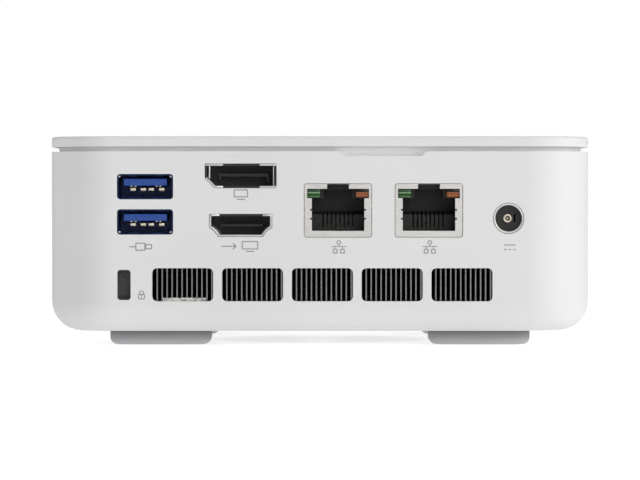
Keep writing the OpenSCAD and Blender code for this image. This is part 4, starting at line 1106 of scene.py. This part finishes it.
def networkMarks():  # one machine linked to two
    thin = inkLook["thin"]
    marks = [(inkRing, 0, 1.2, 0.55), (inkBar, -1.75, 0.25, 1.75, 0.25, thin), (inkBar, 0, 0.25, 0, 0.7, thin)]
    for x in (-0.85, 0.85):
        marks += [(inkFrame, x, -0.85, 1.15, 1.15), (inkBar, x, -0.3, x, 0.2, thin)]
    return marks


labels = {  # each label's (x, z) place, then its marks in millimetres from there
    "usbLabel": ((usbSpots[1][0] - 0.9, 23.5), [  # plug with its lead
        (inkBar, -2.8, 0, -1.4, 0), (inkFrame, -0.2, 0, 2.4, 1.9), (inkFrame, 1.75, 0, 1.6, 1.25)]),
    "upperVideoLabel": ((upperVideo[0] + 0.05, 35.75), [  # screen on a foot
        (inkFrame, 0, 0.3, 3.4, 1.9), (inkBar, -1.0, -1.1, 1.0, -1.1)]),
    "lowerVideoLabel": ((lowerVideo[0] + 0.1, 23.6), [  # arrow out to a screen
        (inkBar, -4.6, 0, -1.2, 0), (inkBar, -1.9, 0.7, -1.15, 0), (inkBar, -1.9, -0.7, -1.15, 0),
        (inkFrame, 2.1, 0.25, 3.9, 2.0), (inkBar, 1.1, -1.2, 3.1, -1.2)]),
    "networkLabelLeft": ((networkSpots[0][0] + 0.2, 23.3), networkMarks()),
    "networkLabelRight": ((networkSpots[1][0] + 0.2, 23.3), networkMarks()),
    "dcLabel": ((dcSpot[0] + 0.3, 23.9), [  # direct current: a line over three dashes
        (inkBar, -1.35, 0, 1.35, 0), *[(inkBar, x - 0.3, -1.05, x + 0.3, -1.05) for x in (-1.05, 0, 1.05)]]),
    "lockLabel": ((lockSpot[0] + 4.15, 11.75), [  # padlock
        (inkRing, 0, 0.85, 0.6, 0.22), (inkBar, 0, -0.2, 0, 0.2, 0.22),
        (inkFrame, 0, 0, 1.6, 1.3, 0.24, 0.001)]),
}


def makePrints():
    y = rearY - inkLook["thick"] / 2 - 0.002
    for name, (spot, marks) in labels.items():
        label = join(*[draw(spot, y, *sizes) for draw, *sizes in marks])
        label.name = name
        finishPiece(label, "print_ink", None, 0)
    y = frontY - buttonLook["dish"] + inkLook["thick"]  # open circle with a stroke, on the button
    sign = inkRing(buttonSpot, y, 0, 0, 1.25, 0.25)
    cut(sign, slab("opening", buttonSpot, (-0.42, 0.5, 0.42, 2), y - 1, y + 1))
    sign = join(sign, inkBar(buttonSpot, y, 0, 0.25, 0, 1.45, 0.25))
    sign.name = "powerSign"
    finishPiece(sign, "print_ink", None, 0, "button")


# pieces that keep the designed shape, with their edges broken

def softenNode(node, slot, edge):  # a merged copy of the designed mesh with rounded edges
    makeActive(frame["nodes"][node])
    bpy.ops.object.duplicate()
    piece = bpy.context.object
    bpy.ops.object.parent_clear(type="CLEAR_KEEP_TRANSFORM")
    for key in list(piece.keys()):
        del piece[key]
    bpy.ops.object.mode_set(mode="EDIT")
    bpy.ops.mesh.select_all(action="SELECT")
    bpy.ops.mesh.remove_doubles(threshold=0.002 * mm)
    bpy.ops.mesh.dissolve_limited(angle_limit=math.radians(0.6))
    bpy.ops.object.mode_set(mode="OBJECT")
    words = node.split("_")
    piece.name = words[0] + "".join(word.capitalize() for word in words[1:])
    return finishPiece(piece, slot, node, edge)


softNodes = {  # edge radius in millimetres
    "base_cover": 0.2, "base_screws": 0.1, "bracket_inserts": 0.12, "rear_usb_block": 0.15,
    "video_port_block": 0.15,
    "power_switch": 0.12, "main_board": 0.08, "board_screws": 0.1, "tray_standoffs": 0.12, "processor": 0.08,
    "power_coils": 0.3, "board_chips": 0.08, "memory_sockets": 0.12, "memory_modules": 0.06, "ssd_socket": 0.1,
    "ssd_module": 0.05, "module_chips": 0.08, "wifi_card": 0.06, "coin_cell": 0.3, "heat_spreader": 0.12,
    "heat_pipes": 0.6, "cooler_screws": 0.1, "fan_cover": 0.1, "drive_tray": 0.15, "solid_state_drive": 0.35,
    "drive_screws": 0.12,
}

makeLockSeat()
makeUsbC()
makeAudioJack()
makePowerButton()
makePrints()
for row in frame["record"]["subparts"]:
    if row["node"] in softNodes:
        softenNode(row["node"], row["material_slot"], softNodes[row["node"]])
print("front panel, prints and inner pieces ready")
